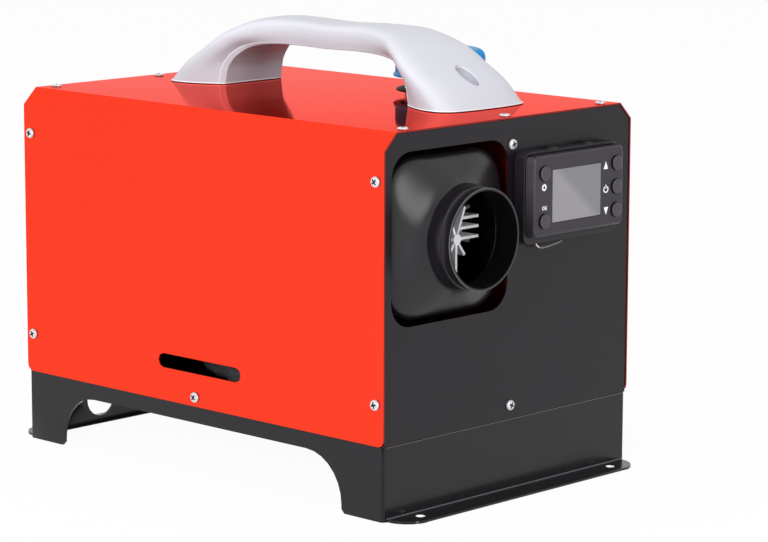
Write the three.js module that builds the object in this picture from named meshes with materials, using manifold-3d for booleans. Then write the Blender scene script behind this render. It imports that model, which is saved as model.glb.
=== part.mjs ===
// A portable diesel air heater: a red folded cover on a black footed base, with the round
// warm-air outlet and the controller in front, a carrying handle and a fuel filler on top,
// and the heater unit, the fuel tank and the fuel pump inside.
// Millimetres, +Z up, the front faces -Y, the origin is under the middle of the object.

import * as THREE from 'three';
import { mergeVertices } from 'three/addons/utils/BufferGeometryUtils.js';
import Module from 'manifold-3d';

const wasm = await Module();
wasm.setup();

// ---------------------------------------------------------------- driving sizes
// Y is counted from the cover's front edge, X from the middle, Z from the floor.

// Fits
const SEAT_GAP = 0.3;
const SHAFT_PLAY = 0.3;
const PIPE_PLAY = 2;
const OVERCUT = 1;

// Base
const BODY_WIDTH = 270;
const BODY_LENGTH = 390;
const BASE_HEIGHT = 54.5;
const BASE_INSET = 0.8;
const BASE_SHEET = 2;
const BASE_EDGE_RADIUS = 3;
const FOOT_LENGTH = 42.5;
const FOOT_CHAMFER = 3;
const ARCH_HEIGHT = 42;
const ARCH_RADIUS = 36;
const FLANGE_DEPTH = 20;
const FLANGE_INSET = 4;
const FLANGE_HOLE_RADIUS = 3.5;
const FLANGE_HOLE_SIDE = 29;
const FLANGE_HOLE_REACH = 9;
const HOSE_HOLE_X = -61.5;
const HOSE_HOLE_RADIUS = 14.8;
const HOSE_HOLE_HEIGHT = 21.4;
const TAB_WIDTH = 30;
const TAB_HEIGHT = 15;

// Cover and panels
const COVER_HEIGHT = 224.5;
const COVER_SHEET = 1.2;
const COVER_CHAMFER = 12.5;
const COVER_CORNER = 5.5;
const PANEL_SHEET = 1.2;
const PANEL_RECESS = 0.6;
const PAN_DEPTH = 16;
const OPENING_WIDTH = 123;
const OPENING_HEIGHT = 125.5;
const OPENING_CORNER = 19;
const OPENING_RISE = 1.2;
const SIDE_SLOT_LENGTH = 90;
const SIDE_SLOT_WIDTH = 11;
const SIDE_SLOT_Y = 191;
const SIDE_SLOT_HEIGHT = 31;
const VENT_SLOT_LENGTH = 92;
const VENT_SLOT_WIDTH = 6;
const VENT_PITCH = 14;
const VENT_COUNT = 6;
const DIVIDER_SHEET = 1.2;
const DIVIDER_FLANGE = 12.5;

// Screws
const SCREW_HEAD_RADIUS = 4;
const SCREW_HEAD_HEIGHT = 2.2;
const SCREW_SHANK_RADIUS = 1.6;
const SCREW_LENGTH = 6.5;
const SCREW_PLAY = 0.4;
const RECESS_LENGTH = 4.2;
const RECESS_WIDTH = 1;
const RECESS_DEPTH = 1;
const PANEL_SCREW_INSET = 8;
const SIDE_SCREW_LOW = 30.5;
const SIDE_SCREW_DROP = 34.5;
const MID_SCREW_Y = 195.5;
const MID_SCREW_RISE = 7.5;
const FACE_SCREW_LOW = 10.5;
const FACE_SCREW_DROP = 20;
const TOP_SCREW_SIDE = 27;

// Heater unit
const HEATER_SIDE_PLAY = 9.3;
const HEATER_TOP_PLAY = 18.8;
const HEATER_DIVIDER_PLAY = 3;
const CASING_HALF = 59;
const CASING_CORNER = 28;
const CASING_WALL = 2.5;
const CASING_FRONT = 14.3;
const CASING_LENGTH = 270;
const HOOD_WALL = 2.2;
const HOOD_STRAIGHT = 6;
const HOOD_SIDES = 28;
const COLLAR_RADIUS = 37.5;
const COLLAR_BORE = 34.9;
const COLLAR_START = -12;
const COLLAR_LENGTH = 20;
const COLLAR_BAND = 12;
const COLLAR_STEP = 1.1;
const COLLAR_LIP = 1.2;
const EXCHANGER_FRONT = 22;
const EXCHANGER_LENGTH = 160;
const EXCHANGER_RADIUS = 36;
const EXCHANGER_WALL = 3.5;
const FIN_RADIUS = 50;
const FIN_THICKNESS = 2.6;
const FIN_COUNT = 12;
const FLANGE_THICKNESS = 4;
const LUG_WIDTH = 12;
// The front ribs of the exchanger: ends of the bars and heights of the level ribs, from the axis.
const NOSE_TIP = -5;
const NOSE_RIB = 2;
const NOSE_HALF_WIDTH = 24.5;
const NOSE_HUB_Z = -3;
const NOSE_HUB_RADIUS = 4;
const NOSE_BOTTOM = [0, -26];
const NOSE_UPPER = [9, 20];
const NOSE_LOWER = [9, -15];
const NOSE_LEVELS = [-3, 4.4, 11.7];
const BURNER_RADIUS = 24;
const BURNER_WALL = 2.5;
const BURNER_LENGTH = 120;
const BURNER_HEAD_RADIUS = 30;
const BURNER_HEAD_LENGTH = 27;
const GLOW_PLUG_RADIUS = 4;
const GLOW_PLUG_LENGTH = 28;
const GLOW_HEX_RADIUS = 6.5;
const BLOWER_RADIUS = 44;
const BLOWER_LENGTH = 24;
const BLOWER_WALL = 3;
const IMPELLER_RADIUS = 35;
const IMPELLER_LENGTH = 12;
const IMPELLER_VANES = 8;
const MOTOR_RADIUS = 19;
const MOTOR_LENGTH = 28;
const SHAFT_RADIUS = 2.5;
const FAN_RADIUS = 50;
const FAN_LENGTH = 11;
const FAN_HUB_RADIUS = 13;
const FAN_BLADES = 7;
const FAN_BLADE_TILT = 35;
const GUARD_THICKNESS = 5;
const GUARD_BAR = 2.4;
const GUARD_BARS = 7;
const CONTROL_WIDTH = 52;
const CONTROL_LENGTH = 24;
const CONTROL_HEIGHT = 20;

// Shelf and pipes under the heater
const SHELF_SHEET = 1.5;
const SHELF_DROP = 9.5;
const SHELF_START = 60;
const SHELF_LENGTH = 220;
const SHELF_FOOT = 14;
const SHELF_RAIL = 14;
const EXHAUST_Y = 162;
const EXHAUST_TRAY_Y = 118;
const EXHAUST_RADIUS = 12;
const INTAKE_TRAY_Y = 214;
const INTAKE_RADIUS = 11.5;
// Share of the pipe's height by which its bend swings to the rear.
const INTAKE_SWING = 0.4;
const PIPE_WALL = 1.6;
const STUB_DROP = 10;
const PIPE_OUTLET = 34;

// Fuel
const TANK_LENGTH = 270;
const TANK_START = 60;
const TANK_TOP_PLAY = 17;
const TANK_WALL = 3;
const TANK_CORNER = 16;
const TANK_DIVIDER_PLAY = 2;
const TANK_SIDE_PLAY = 8;
const NECK_EDGE = 4.8;
const NECK_Y = 158;
const NECK_RADIUS = 28;
const NECK_BORE = 24.5;
const FILLER_HOLE_RADIUS = 31.5;
const FILLER_RING_RADIUS = 34.5;
const FILLER_RING_HEIGHT = 3.8;
const CAP_RADIUS = 35.2;
const CAP_RIM = 1.5;
const CAP_RIM_HEIGHT = 2;
const CAP_HEIGHT = 23.5;
const CAP_LIFT = 9;
const CAP_TOP = 6;
const CAP_RIBS = 24;
const CAP_RIB_DEPTH = 0.9;
const CAP_THREAD_ROOM = 3.5;
// The cap's crown: share of its radius, share of its height below the top.
const CAP_CROWN = [[0, 0], [0.7, 0], [0.89, 0.05], [0.975, 0.16], [1, 0.28]];
const GASKET_THICKNESS = 1.7;
const NIPPLE_RADIUS = 3.2;
const NIPPLE_LENGTH = 10;
const NIPPLE_SIDE = 59;
const NIPPLE_RISE = 14;
const PUMP_STANDOFF = 9;
const PUMP_Y = 37;
const PUMP_RADIUS = 14;
const PUMP_LENGTH = 46;
const PUMP_RISE = 22;
const CLAMP_WALL = 2.5;
const CLAMP_HEIGHT = 16;
const HOSE_RADIUS = 3;

// Handle
// Stations from the front foot to the crown: outer y and z, inner y and z, and the half widths
// of the outer and the inner face. The rear half mirrors them.
const HANDLE_X = 25;
const HANDLE_Y = 198.7;
// The handle's section from its inner face out: shares of the inner and of the outer half width,
// and of the height.
const HANDLE_SECTION = [
  [0.72, 0, 0], [0.95, 0, 0.06], [0.5, 0.52, 0.3], [0, 1, 0.6],
  [0, 0.96, 0.8], [0, 0.78, 0.94], [0, 0.42, 0.99],
];
const HANDLE_STATIONS = [
  [-160.5, 0, -97.2, 0, 47, 34.5],
  [-140, 15.4, -97, 9.5, 46, 34.5],
  [-126.5, 23.9, -96.8, 13.7, 45, 34],
  [-115.7, 30, -96, 17, 44, 33],
  [-105.6, 37.1, -91.8, 23, 42.5, 31.5],
  [-93, 45.1, -78.1, 29.8, 37.7, 26.3],
  [-71, 53.5, -61, 33.6, 28.2, 22.5],
  [-40, 54.9, -34.4, 35, 21.5, 18.5],
  [0, 53.8, 0, 33.7, 21, 18.5],
];
const OVAL_LENGTH = 26.5;
const OVAL_WIDTH = 16;
const OVAL_DEPTH = 1.6;

// Controller
const CRADLE_LEFT = 2;
const CRADLE_WIDTH = 106;
const CRADLE_DROP = 94;
const CRADLE_HEIGHT = 68;
const CRADLE_DEPTH = 10;
const CRADLE_BACK = 3;
const CRADLE_TABS = [0.3, 0.68];
const CRADLE_TAB_WIDTH = 8;
const CRADLE_TAB_HEIGHT = 1;
const CRADLE_TAB_INSET = 2.5;
const CRADLE_MARGIN = 2.2;
const CRADLE_SILL = 6;
const CRADLE_CORNER = 6;
const BEZEL_WIDTH = 101;
const BEZEL_HEIGHT = 59.5;
const BEZEL_FRONT = -18;
const BEZEL_DEPTH = 9;
const BEZEL_FACE = 2;
const BEZEL_WALL = 1.2;
const BEZEL_CORNER = 4;
const BEZEL_BEVEL = 1.2;
const HOUSING_POST_INSET = 8;
const SCREEN_SIDE = 20.3;
const SCREEN_WIDTH = 54.7;
const SCREEN_RISE = 9.4;
const SCREEN_HEIGHT = 39;
const SCREEN_THICKNESS = 1.6;
const BOARD_THICKNESS = 1.6;
const BUTTON_RADIUS = 5.7;
const BUTTON_PROUD = 2;
const BUTTON_BEVEL = 1;
const BUTTON_TRAVEL = 1;
const BUTTON_FLANGE = 1;
const BUTTON_LIP = 0.7;
const BUTTON_LEFT = 10.8;
const BUTTON_RIGHT = 92.5;
const BUTTON_TOP = 46.8;
const BUTTON_MIDDLE = 29.2;
const BUTTON_LOW = 11.5;
const LEAD_RADIUS = 0.9;
const LEAD_HOLE_RADIUS = 2;

// Rear socket
const SOCKET_X = 62;
const SOCKET_RISE = 38;
const SOCKET_RADIUS = 12;
const SOCKET_FLANGE = 30;
const SOCKET_DEPTH = 18;
const SOCKET_PROUD = 6;

// ---------------------------------------------------------------- places that follow
const BODY_TOP = BASE_HEIGHT + COVER_HEIGHT;
const FLANGE_HOLE_X = BODY_WIDTH / 2 - FLANGE_HOLE_SIDE;
const COVER_BOTTOM = BASE_HEIGHT + SEAT_GAP;
const COVER_INNER = BODY_WIDTH / 2 - COVER_SHEET;
const COVER_CEILING = BODY_TOP - COVER_SHEET;
const HEATER_X = HEATER_SIDE_PLAY + CASING_HALF - COVER_INNER;
const HEATER_Z = COVER_CEILING - HEATER_TOP_PLAY - CASING_HALF;
const DIVIDER_LEFT = HEATER_X + CASING_HALF + HEATER_DIVIDER_PLAY;
const COLLAR_TIP = COLLAR_START - COLLAR_LENGTH;
const CASING_END = CASING_FRONT + CASING_LENGTH;
const HOOD_BACK = CASING_FRONT - SEAT_GAP;
const CASING_INNER = CASING_HALF - CASING_WALL;
const EXCHANGER_END = EXCHANGER_FRONT + EXCHANGER_LENGTH;
const BURNER_FRONT = EXCHANGER_END + SEAT_GAP;
const BURNER_END = BURNER_FRONT + FLANGE_THICKNESS + BURNER_HEAD_LENGTH;
const BLOWER_FRONT = BURNER_END + SEAT_GAP;
const BLOWER_END = BLOWER_FRONT + BLOWER_LENGTH;
const MOTOR_FRONT = BLOWER_END + SEAT_GAP;
const MOTOR_END = MOTOR_FRONT + MOTOR_LENGTH;
const FAN_FRONT = MOTOR_END + PIPE_PLAY;
const FAN_END = FAN_FRONT + FAN_LENGTH;
const INTAKE_Y = BLOWER_FRONT + BLOWER_LENGTH / 2;
const SHELF_TOP = HEATER_Z - CASING_HALF - SHELF_DROP;
const SHELF_BOTTOM = SHELF_TOP - SHELF_SHEET;
const STUB_BOTTOM = SHELF_BOTTOM - STUB_DROP;
const DIVIDER_WEB = DIVIDER_LEFT + DIVIDER_FLANGE;
const TANK_LEFT = DIVIDER_WEB + TANK_DIVIDER_PLAY;
const TANK_RIGHT = COVER_INNER - TANK_SIDE_PLAY;
const TANK_TOP = COVER_CEILING - TANK_TOP_PLAY;
const NECK_X = TANK_RIGHT - NECK_EDGE - NECK_RADIUS;
const NIPPLE_X = TANK_LEFT + NIPPLE_SIDE;
const CAP_BOTTOM = BODY_TOP + CAP_LIFT;
const CAP_CEILING = CAP_BOTTOM + CAP_HEIGHT - CAP_TOP;
const NECK_TOP = CAP_CEILING - GASKET_THICKNESS - 2 * SEAT_GAP;
const PUMP_X = DIVIDER_WEB + PUMP_STANDOFF + PUMP_RADIUS;
const PUMP_BOTTOM = BASE_HEIGHT + PUMP_RISE;
const PUMP_TOP = PUMP_BOTTOM + PUMP_LENGTH;
const PANEL_FACE = PANEL_RECESS;
const CRADLE_BOTTOM = BODY_TOP - CRADLE_DROP;
const BEZEL_LEFT = CRADLE_LEFT + CRADLE_MARGIN;
const BEZEL_BOTTOM = CRADLE_BOTTOM + CRADLE_SILL;
const SCREEN_LEFT = BEZEL_LEFT + SCREEN_SIDE;
const SCREEN_BOTTOM = BEZEL_BOTTOM + SCREEN_RISE;
const BEZEL_BACK = BEZEL_FRONT + BEZEL_DEPTH;
const BUTTON_SEAT = BEZEL_FRONT + BEZEL_FACE + SEAT_GAP;
const BOARD_FRONT = BUTTON_SEAT + BUTTON_FLANGE + BUTTON_TRAVEL + SEAT_GAP;

const TOP_SCREW_X = BODY_WIDTH / 2 - TOP_SCREW_SIDE;
const SIDE_SCREWS = [
  [PANEL_SCREW_INSET, BASE_HEIGHT + SIDE_SCREW_LOW],
  [PANEL_SCREW_INSET, BODY_TOP - SIDE_SCREW_DROP],
  [BODY_LENGTH - PANEL_SCREW_INSET, BASE_HEIGHT + SIDE_SCREW_LOW],
  [BODY_LENGTH - PANEL_SCREW_INSET, BODY_TOP - SIDE_SCREW_DROP],
  [MID_SCREW_Y, BASE_HEIGHT + MID_SCREW_RISE],
];
const TOP_SCREWS = [
  [-TOP_SCREW_X, PANEL_SCREW_INSET],
  [0, PANEL_SCREW_INSET],
  [TOP_SCREW_X, PANEL_SCREW_INSET],
  [-TOP_SCREW_X, BODY_LENGTH - PANEL_SCREW_INSET],
  [0, BODY_LENGTH - PANEL_SCREW_INSET],
  [TOP_SCREW_X, BODY_LENGTH - PANEL_SCREW_INSET],
];
const FACE_SCREWS = [BASE_HEIGHT + FACE_SCREW_LOW, BODY_TOP - FACE_SCREW_DROP];
const SCREW_HOLE = SCREW_SHANK_RADIUS + SCREW_PLAY;
const FUEL_INLET_X = HEATER_X + BURNER_HEAD_RADIUS / 2;
const FUEL_INLET_Y = BURNER_FRONT + FLANGE_THICKNESS + BURNER_HEAD_LENGTH / 2;
const IMPELLER_FRONT = BLOWER_FRONT + (BLOWER_LENGTH - IMPELLER_LENGTH) / 2;
// The tank's hose: its two ends, and the points that bend it straight out of each.
const TANK_NIPPLE_Y = TANK_START - NIPPLE_LENGTH - SEAT_GAP;
const TANK_NIPPLE_Z = COVER_BOTTOM + NIPPLE_RISE;
const PUMP_INLET_Z = PUMP_BOTTOM - NIPPLE_LENGTH / 2 - SEAT_GAP;
const TANK_HOSE_ROUTE = [
  [NIPPLE_X, TANK_NIPPLE_Y, TANK_NIPPLE_Z],
  [NIPPLE_X, TANK_NIPPLE_Y - 24, TANK_NIPPLE_Z],
  [PUMP_X, PUMP_Y, PUMP_INLET_Z - 14],
  [PUMP_X, PUMP_Y, PUMP_INLET_Z],
];
// The heater's fuel hose rises from the pump, crosses the divider, drops beside the shelf's leg and
// turns up to the burner's stub.
const HOSE_CROSSING = [DIVIDER_WEB, 50, PUMP_TOP + 19.5];
const HOSE_END_Z = STUB_BOTTOM - SEAT_GAP;
const HEATER_HOSE_ROUTE = [
  [PUMP_X, PUMP_Y, PUMP_TOP + NIPPLE_LENGTH + SEAT_GAP],
  [PUMP_X, PUMP_Y, PUMP_TOP + 16.3],
  [PUMP_X - 7, PUMP_Y + 3, PUMP_TOP + 23.3],
  [PUMP_X - 17, PUMP_Y + 7, PUMP_TOP + 23.3],
  HOSE_CROSSING,
  [DIVIDER_LEFT + 4.5, 60, PUMP_TOP + 11.5],
  [DIVIDER_LEFT + 3.5, 92, STUB_BOTTOM - 2],
  [DIVIDER_LEFT - 9.5, 126, STUB_BOTTOM - 15],
  [FUEL_INLET_X + 14.5, 164, STUB_BOTTOM - 26],
  [FUEL_INLET_X, FUEL_INLET_Y - 10, STUB_BOTTOM - 24],
  [FUEL_INLET_X, FUEL_INLET_Y, HOSE_END_Z - 10],
  [FUEL_INLET_X, FUEL_INLET_Y, HOSE_END_Z],
];
const BUTTONS = [
  ['button_menu', BEZEL_LEFT + BUTTON_LEFT, BEZEL_BOTTOM + BUTTON_TOP],
  ['button_ok', BEZEL_LEFT + BUTTON_LEFT, BEZEL_BOTTOM + BUTTON_LOW],
  ['button_up', BEZEL_LEFT + BUTTON_RIGHT, BEZEL_BOTTOM + BUTTON_TOP],
  ['button_power', BEZEL_LEFT + BUTTON_RIGHT, BEZEL_BOTTOM + BUTTON_MIDDLE],
  ['button_down', BEZEL_LEFT + BUTTON_RIGHT, BEZEL_BOTTOM + BUTTON_LOW],
];
// The lead leaves under the cradle, dips, enters the front panel, crosses the divider and runs
// beside the heater to its control unit.
const LEAD_ENTRY = [CRADLE_LEFT + 54, PANEL_FACE, CRADLE_BOTTOM - 2.6];
const LEAD_CROSSING = [DIVIDER_WEB, 27, CRADLE_BOTTOM - 4];
const LEAD_END_Z = HEATER_Z + CASING_INNER - CONTROL_HEIGHT / 2;
const LEAD_END_Y = (MOTOR_FRONT + MOTOR_END) / 2;
const LEAD_ROUTE = [
  [CRADLE_LEFT + 18.8, -5, CRADLE_BOTTOM - SEAT_GAP],
  [CRADLE_LEFT + 18.8, -5, CRADLE_BOTTOM - 1.4],
  [CRADLE_LEFT + 20.6, -5, CRADLE_BOTTOM - 3.2],
  [CRADLE_LEFT + 25.5, -5, CRADLE_BOTTOM - 4.9],
  [CRADLE_LEFT + 32, -5, CRADLE_BOTTOM - 4.6],
  [CRADLE_LEFT + 40, -5, CRADLE_BOTTOM - 3.6],
  [CRADLE_LEFT + 48, -4, CRADLE_BOTTOM - 2.7],
  LEAD_ENTRY,
  [CRADLE_LEFT + 53, 10, CRADLE_BOTTOM - 3],
  [CRADLE_LEFT + 45, 21, CRADLE_BOTTOM - 4],
  [CRADLE_LEFT + 28, 26, CRADLE_BOTTOM - 4],
  LEAD_CROSSING,
  [DIVIDER_LEFT + 5.5, 33, CRADLE_BOTTOM - 4],
  [DIVIDER_LEFT + 4, 60, CRADLE_BOTTOM - 1],
  [DIVIDER_LEFT + 4, 120, CRADLE_BOTTOM + 11],
  [DIVIDER_LEFT + 4, 190, CRADLE_BOTTOM + 35],
  [DIVIDER_LEFT + 3.5, 235, LEAD_END_Z - 5],
  [DIVIDER_LEFT - 1.5, 252, LEAD_END_Z],
  [DIVIDER_LEFT - 16.5, LEAD_END_Y, LEAD_END_Z],
  [HEATER_X + CONTROL_WIDTH / 2 + SEAT_GAP, LEAD_END_Y, LEAD_END_Z],
];

// ---------------------------------------------------------------- materials
function paint(colour, roughness, metalness = 0) {
  return new THREE.MeshStandardMaterial({ color: colour, roughness, metalness });
}

const RED_PAINT = () => paint(0xf23a22, 0.45);
const DARK_PAINT = () => paint(0x39383a, 0.6);
const BASE_PAINT = () => paint(0x3d3b3f, 0.6);
const BLACK_PLASTIC = () => paint(0x232224, 0.5);
const GREY_PLASTIC = () => paint(0xd6d6dc, 0.5);
const BLUE_PLASTIC = () => paint(0x0b78c4, 0.4);
const WHITE_PLASTIC = () => paint(0xe8e6dc, 0.5);
const RUBBER = () => paint(0x1c1c1e, 0.85);
const STEEL = () => paint(0xc8c9cc, 0.3, 0.9);
const CAST_METAL = () => paint(0xb4b5b8, 0.55, 0.8);
const COPPER_BOARD = () => paint(0x1f5c38, 0.6);
const SCREEN_GLASS = () => paint(0x97939a, 0.2);

// ---------------------------------------------------------------- outlines
function arcPoints(centreX, centreY, radius, fromDegrees, toDegrees, steps) {
  const points = [];
  for (let i = 0; i <= steps; i += 1) {
    const angle = THREE.MathUtils.degToRad(fromDegrees + (toDegrees - fromDegrees) * i / steps);
    points.push(new THREE.Vector2(centreX + radius * Math.cos(angle), centreY + radius * Math.sin(angle)));
  }
  return points;
}

function circle(centreX, centreY, radius, sides) {
  return new THREE.Shape(arcPoints(centreX, centreY, radius, 0, 360 - 360 / sides, sides - 1));
}

function roundedRectangle(left, bottom, width, height, radius, steps = 3) {
  const right = left + width;
  const top = bottom + height;
  return new THREE.Shape([
    ...arcPoints(right - radius, bottom + radius, radius, -90, 0, steps),
    ...arcPoints(right - radius, top - radius, radius, 0, 90, steps),
    ...arcPoints(left + radius, top - radius, radius, 90, 180, steps),
    ...arcPoints(left + radius, bottom + radius, radius, 180, 270, steps),
  ]);
}

function slot(centreX, centreY, length, width) {
  const reach = (length - width) / 2;
  return new THREE.Shape([
    ...arcPoints(centreX + reach, centreY, width / 2, -90, 90, 4),
    ...arcPoints(centreX - reach, centreY, width / 2, 90, 270, 4),
  ]);
}

function polygon(pairs) {
  return new THREE.Shape(pairs.map(([x, y]) => new THREE.Vector2(x, y)));
}

// The cover's cross-section in X and Z, moved inwards by the given distance.
function bodyOutline(inset, bottom) {
  const half = BODY_WIDTH / 2 - inset;
  const top = BODY_TOP - inset;
  const cut = COVER_CHAMFER - inset * (2 - Math.SQRT2);
  return polygon([
    [-half, bottom], [half, bottom], [half, top - cut],
    [half - cut, top], [-half + cut, top], [-half, top - cut],
  ]);
}

// A square with rounded corners as evenly turned points round the heater's axis.
function squareRing(half, corner, y, count = HOOD_SIDES) {
  const ring = [];
  for (let i = 0; i < count; i += 1) {
    const angle = 2 * Math.PI * i / count;
    const quarter = Math.PI / 2;
    const folded = Math.abs(((angle + quarter / 2) % quarter) - quarter / 2);
    let reach = half / Math.cos(folded);
    const centre = half - corner;
    if (half * Math.tan(folded) > centre) {
      const along = centre * (Math.cos(folded) + Math.sin(folded));
      reach = along + Math.sqrt(corner ** 2 - 2 * centre ** 2 + along ** 2);
    }
    ring.push(new THREE.Vector3(
      HEATER_X + reach * Math.cos(angle), y, HEATER_Z + reach * Math.sin(angle)));
  }
  return ring;
}

function ringOutline(half, corner) {
  return new THREE.Shape(squareRing(half, corner, 0).map((p) => new THREE.Vector2(p.x, p.z)));
}

// ---------------------------------------------------------------- solids
function signedVolume(positions, triangles) {
  const a = new THREE.Vector3();
  const b = new THREE.Vector3();
  const c = new THREE.Vector3();
  let volume = 0;
  for (let i = 0; i < triangles.length; i += 3) {
    a.fromArray(positions, 3 * triangles[i]);
    b.fromArray(positions, 3 * triangles[i + 1]);
    c.fromArray(positions, 3 * triangles[i + 2]);
    volume += a.dot(b.cross(c)) / 6;
  }
  return volume;
}

function toSolid(geometry) {
  const bare = geometry.clone();
  bare.deleteAttribute('normal');
  bare.deleteAttribute('uv');
  const merged = mergeVertices(bare, 1e-4);
  const positions = new Float32Array(merged.attributes.position.array);
  const triangles = [];
  const index = merged.index.array;
  for (let i = 0; i < index.length; i += 3) {
    const [a, b, c] = [index[i], index[i + 1], index[i + 2]];
    if (a !== b && b !== c && c !== a) triangles.push(a, b, c);
  }
  if (signedVolume(positions, triangles) < 0) triangles.reverse();
  return new wasm.Manifold(new wasm.Mesh({
    numProp: 3,
    vertProperties: positions,
    triVerts: new Uint32Array(triangles),
  }));
}

function toGeometry(solid) {
  const { vertProperties, triVerts } = solid.getMesh();
  const geometry = new THREE.BufferGeometry();
  geometry.setAttribute('position', new THREE.BufferAttribute(vertProperties, 3));
  geometry.setIndex(new THREE.BufferAttribute(triVerts, 1));
  geometry.computeVertexNormals();
  return geometry;
}

function join(solids) {
  return solids.reduce((whole, piece) => whole.add(piece));
}

function cut(solid, cutters) {
  return cutters.reduce((whole, cutter) => whole.subtract(cutter), solid);
}

function block([x0, x1], [y0, y1], [z0, z1]) {
  const geometry = new THREE.BoxGeometry(x1 - x0, y1 - y0, z1 - z0);
  geometry.translate((x0 + x1) / 2, (y0 + y1) / 2, (z0 + z1) / 2);
  return toSolid(geometry);
}

// Extrudes an outline along an axis: x takes (y, z), y takes (x, z) and z takes (x, y).
function prism(shape, axis, from, to) {
  const geometry = new THREE.ExtrudeGeometry(shape, { depth: to - from, bevelEnabled: false, steps: 1 });
  const place = new THREE.Matrix4();
  if (axis === 'x') {
    place.set(0, 0, 1, from, 1, 0, 0, 0, 0, 1, 0, 0, 0, 0, 0, 1);
  } else if (axis === 'y') {
    place.set(1, 0, 0, 0, 0, 0, -1, to, 0, 1, 0, 0, 0, 0, 0, 1);
  } else {
    place.makeTranslation(0, 0, from);
  }
  return toSolid(geometry.applyMatrix4(place));
}

function rod(axis, [u, v], radius, from, to, sides = 24) {
  return prism(circle(u, v, radius, sides), axis, from, to);
}

function pipe(axis, centre, radius, bore, from, to, sides = 24) {
  return rod(axis, centre, radius, from, to, sides)
    .subtract(rod(axis, centre, bore, from - OVERCUT, to + OVERCUT, sides));
}

// Joins rings of equal length into a closed body with flat ends.
function loft(rings) {
  const count = rings[0].length;
  const points = rings.flat();
  const triangles = [];
  for (let r = 0; r < rings.length - 1; r += 1) {
    for (let i = 0; i < count; i += 1) {
      const a = r * count + i;
      const b = r * count + (i + 1) % count;
      triangles.push(a, b, b + count, a, b + count, a + count);
    }
  }
  const last = (rings.length - 1) * count;
  for (let i = 1; i < count - 1; i += 1) {
    triangles.push(0, i + 1, i, last, last + i, last + i + 1);
  }
  const geometry = new THREE.BufferGeometry().setFromPoints(points);
  geometry.setIndex(triangles);
  return toSolid(geometry);
}

// A round hose or wire along a curve, with an optional bore.
function tube(path, radius, sides, steps, bore = 0) {
  const shape = circle(0, 0, radius, sides);
  if (bore > 0) shape.holes.push(new THREE.Path(circle(0, 0, bore, sides).getPoints()));
  return toSolid(new THREE.ExtrudeGeometry(shape, { steps, bevelEnabled: false, extrudePath: path }));
}

function toVectors(points) {
  return points.map(([x, y, z]) => new THREE.Vector3(x, y, z));
}

function curveThrough(points) {
  return new THREE.CatmullRomCurve3(toVectors(points), false, 'centripetal');
}

function bezier(points) {
  return new THREE.CubicBezierCurve3(...toVectors(points));
}

// Turns a solid about the heater's axis, which runs along Y.
function turnAboutHeater(solid, degrees) {
  return solid.translate([-HEATER_X, 0, -HEATER_Z])
    .rotate([0, degrees, 0])
    .translate([HEATER_X, 0, HEATER_Z]);
}

function heaterRod(radius, from, to, sides = 20) {
  return rod('y', [HEATER_X, HEATER_Z], radius, from, to, sides);
}

function heaterPipe(radius, bore, from, to, sides = 20) {
  return pipe('y', [HEATER_X, HEATER_Z], radius, bore, from, to, sides);
}

// Four arms that carry a heater part on the casing's inner walls.
function lugs(innerRadius, from, to) {
  const reach = CASING_INNER - SEAT_GAP;
  const arm = block(
    [HEATER_X + innerRadius, HEATER_X + reach], [from, to],
    [HEATER_Z - LUG_WIDTH / 2, HEATER_Z + LUG_WIDTH / 2]);
  return join([0, 90, 180, 270].map((degrees) => turnAboutHeater(arm, degrees)));
}

// ---------------------------------------------------------------- scene graph
const heater = new THREE.Group();
heater.position.y = -(COLLAR_TIP + BODY_LENGTH + FLANGE_DEPTH) / 2;

function addPiece(name, solid, material) {
  const piece = new THREE.Mesh(toGeometry(solid), material);
  piece.name = name;
  heater.add(piece);
}

// ---------------------------------------------------------------- base and cover

function screwHoles(axis, places) {
  const reach = BODY_LENGTH + BODY_WIDTH;
  return places.map((place) => rod(axis, place, SCREW_HOLE, -reach, reach, 8));
}

function topScrewHoles() {
  return TOP_SCREWS.map((place) => rod('z', place, SCREW_HOLE, TANK_TOP, BODY_TOP + OVERCUT, 8));
}

function archOutline() {
  const frontSide = [
    new THREE.Vector2(FOOT_LENGTH - FOOT_CHAMFER - OVERCUT, -OVERCUT),
    new THREE.Vector2(FOOT_LENGTH, FOOT_CHAMFER),
    ...arcPoints(FOOT_LENGTH + ARCH_RADIUS, ARCH_HEIGHT - ARCH_RADIUS, ARCH_RADIUS, 180, 90, 7),
  ];
  const rearSide = frontSide.map((p) => new THREE.Vector2(BODY_LENGTH - p.x, p.y)).reverse();
  return new THREE.Shape([...frontSide, ...rearSide]);
}

function footFlange(front) {
  const half = BODY_WIDTH / 2 - BASE_INSET - FLANGE_INSET;
  const inner = BASE_INSET + BASE_SHEET;
  const corner = (side, from, to) => arcPoints(side * (half - FLANGE_DEPTH), 0, FLANGE_DEPTH, from, to, 5)
    .map((p) => [p.x, p.y]);
  const outline = [[half, inner], ...corner(1, 0, -90), ...corner(-1, -90, -180), [-half, inner]];
  const placed = front ? outline : outline.map(([x, y]) => [x, BODY_LENGTH - y]);
  return prism(polygon(placed), 'z', 0, BASE_SHEET);
}

function sideTab(side) {
  const outer = COVER_INNER - SEAT_GAP;
  const span = [side * outer, side * (outer - BASE_SHEET)].sort((a, b) => a - b);
  return block(span, [MID_SCREW_Y - TAB_WIDTH / 2, MID_SCREW_Y + TAB_WIDTH / 2],
    [BASE_HEIGHT - BASE_SHEET, BASE_HEIGHT + TAB_HEIGHT]);
}

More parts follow.
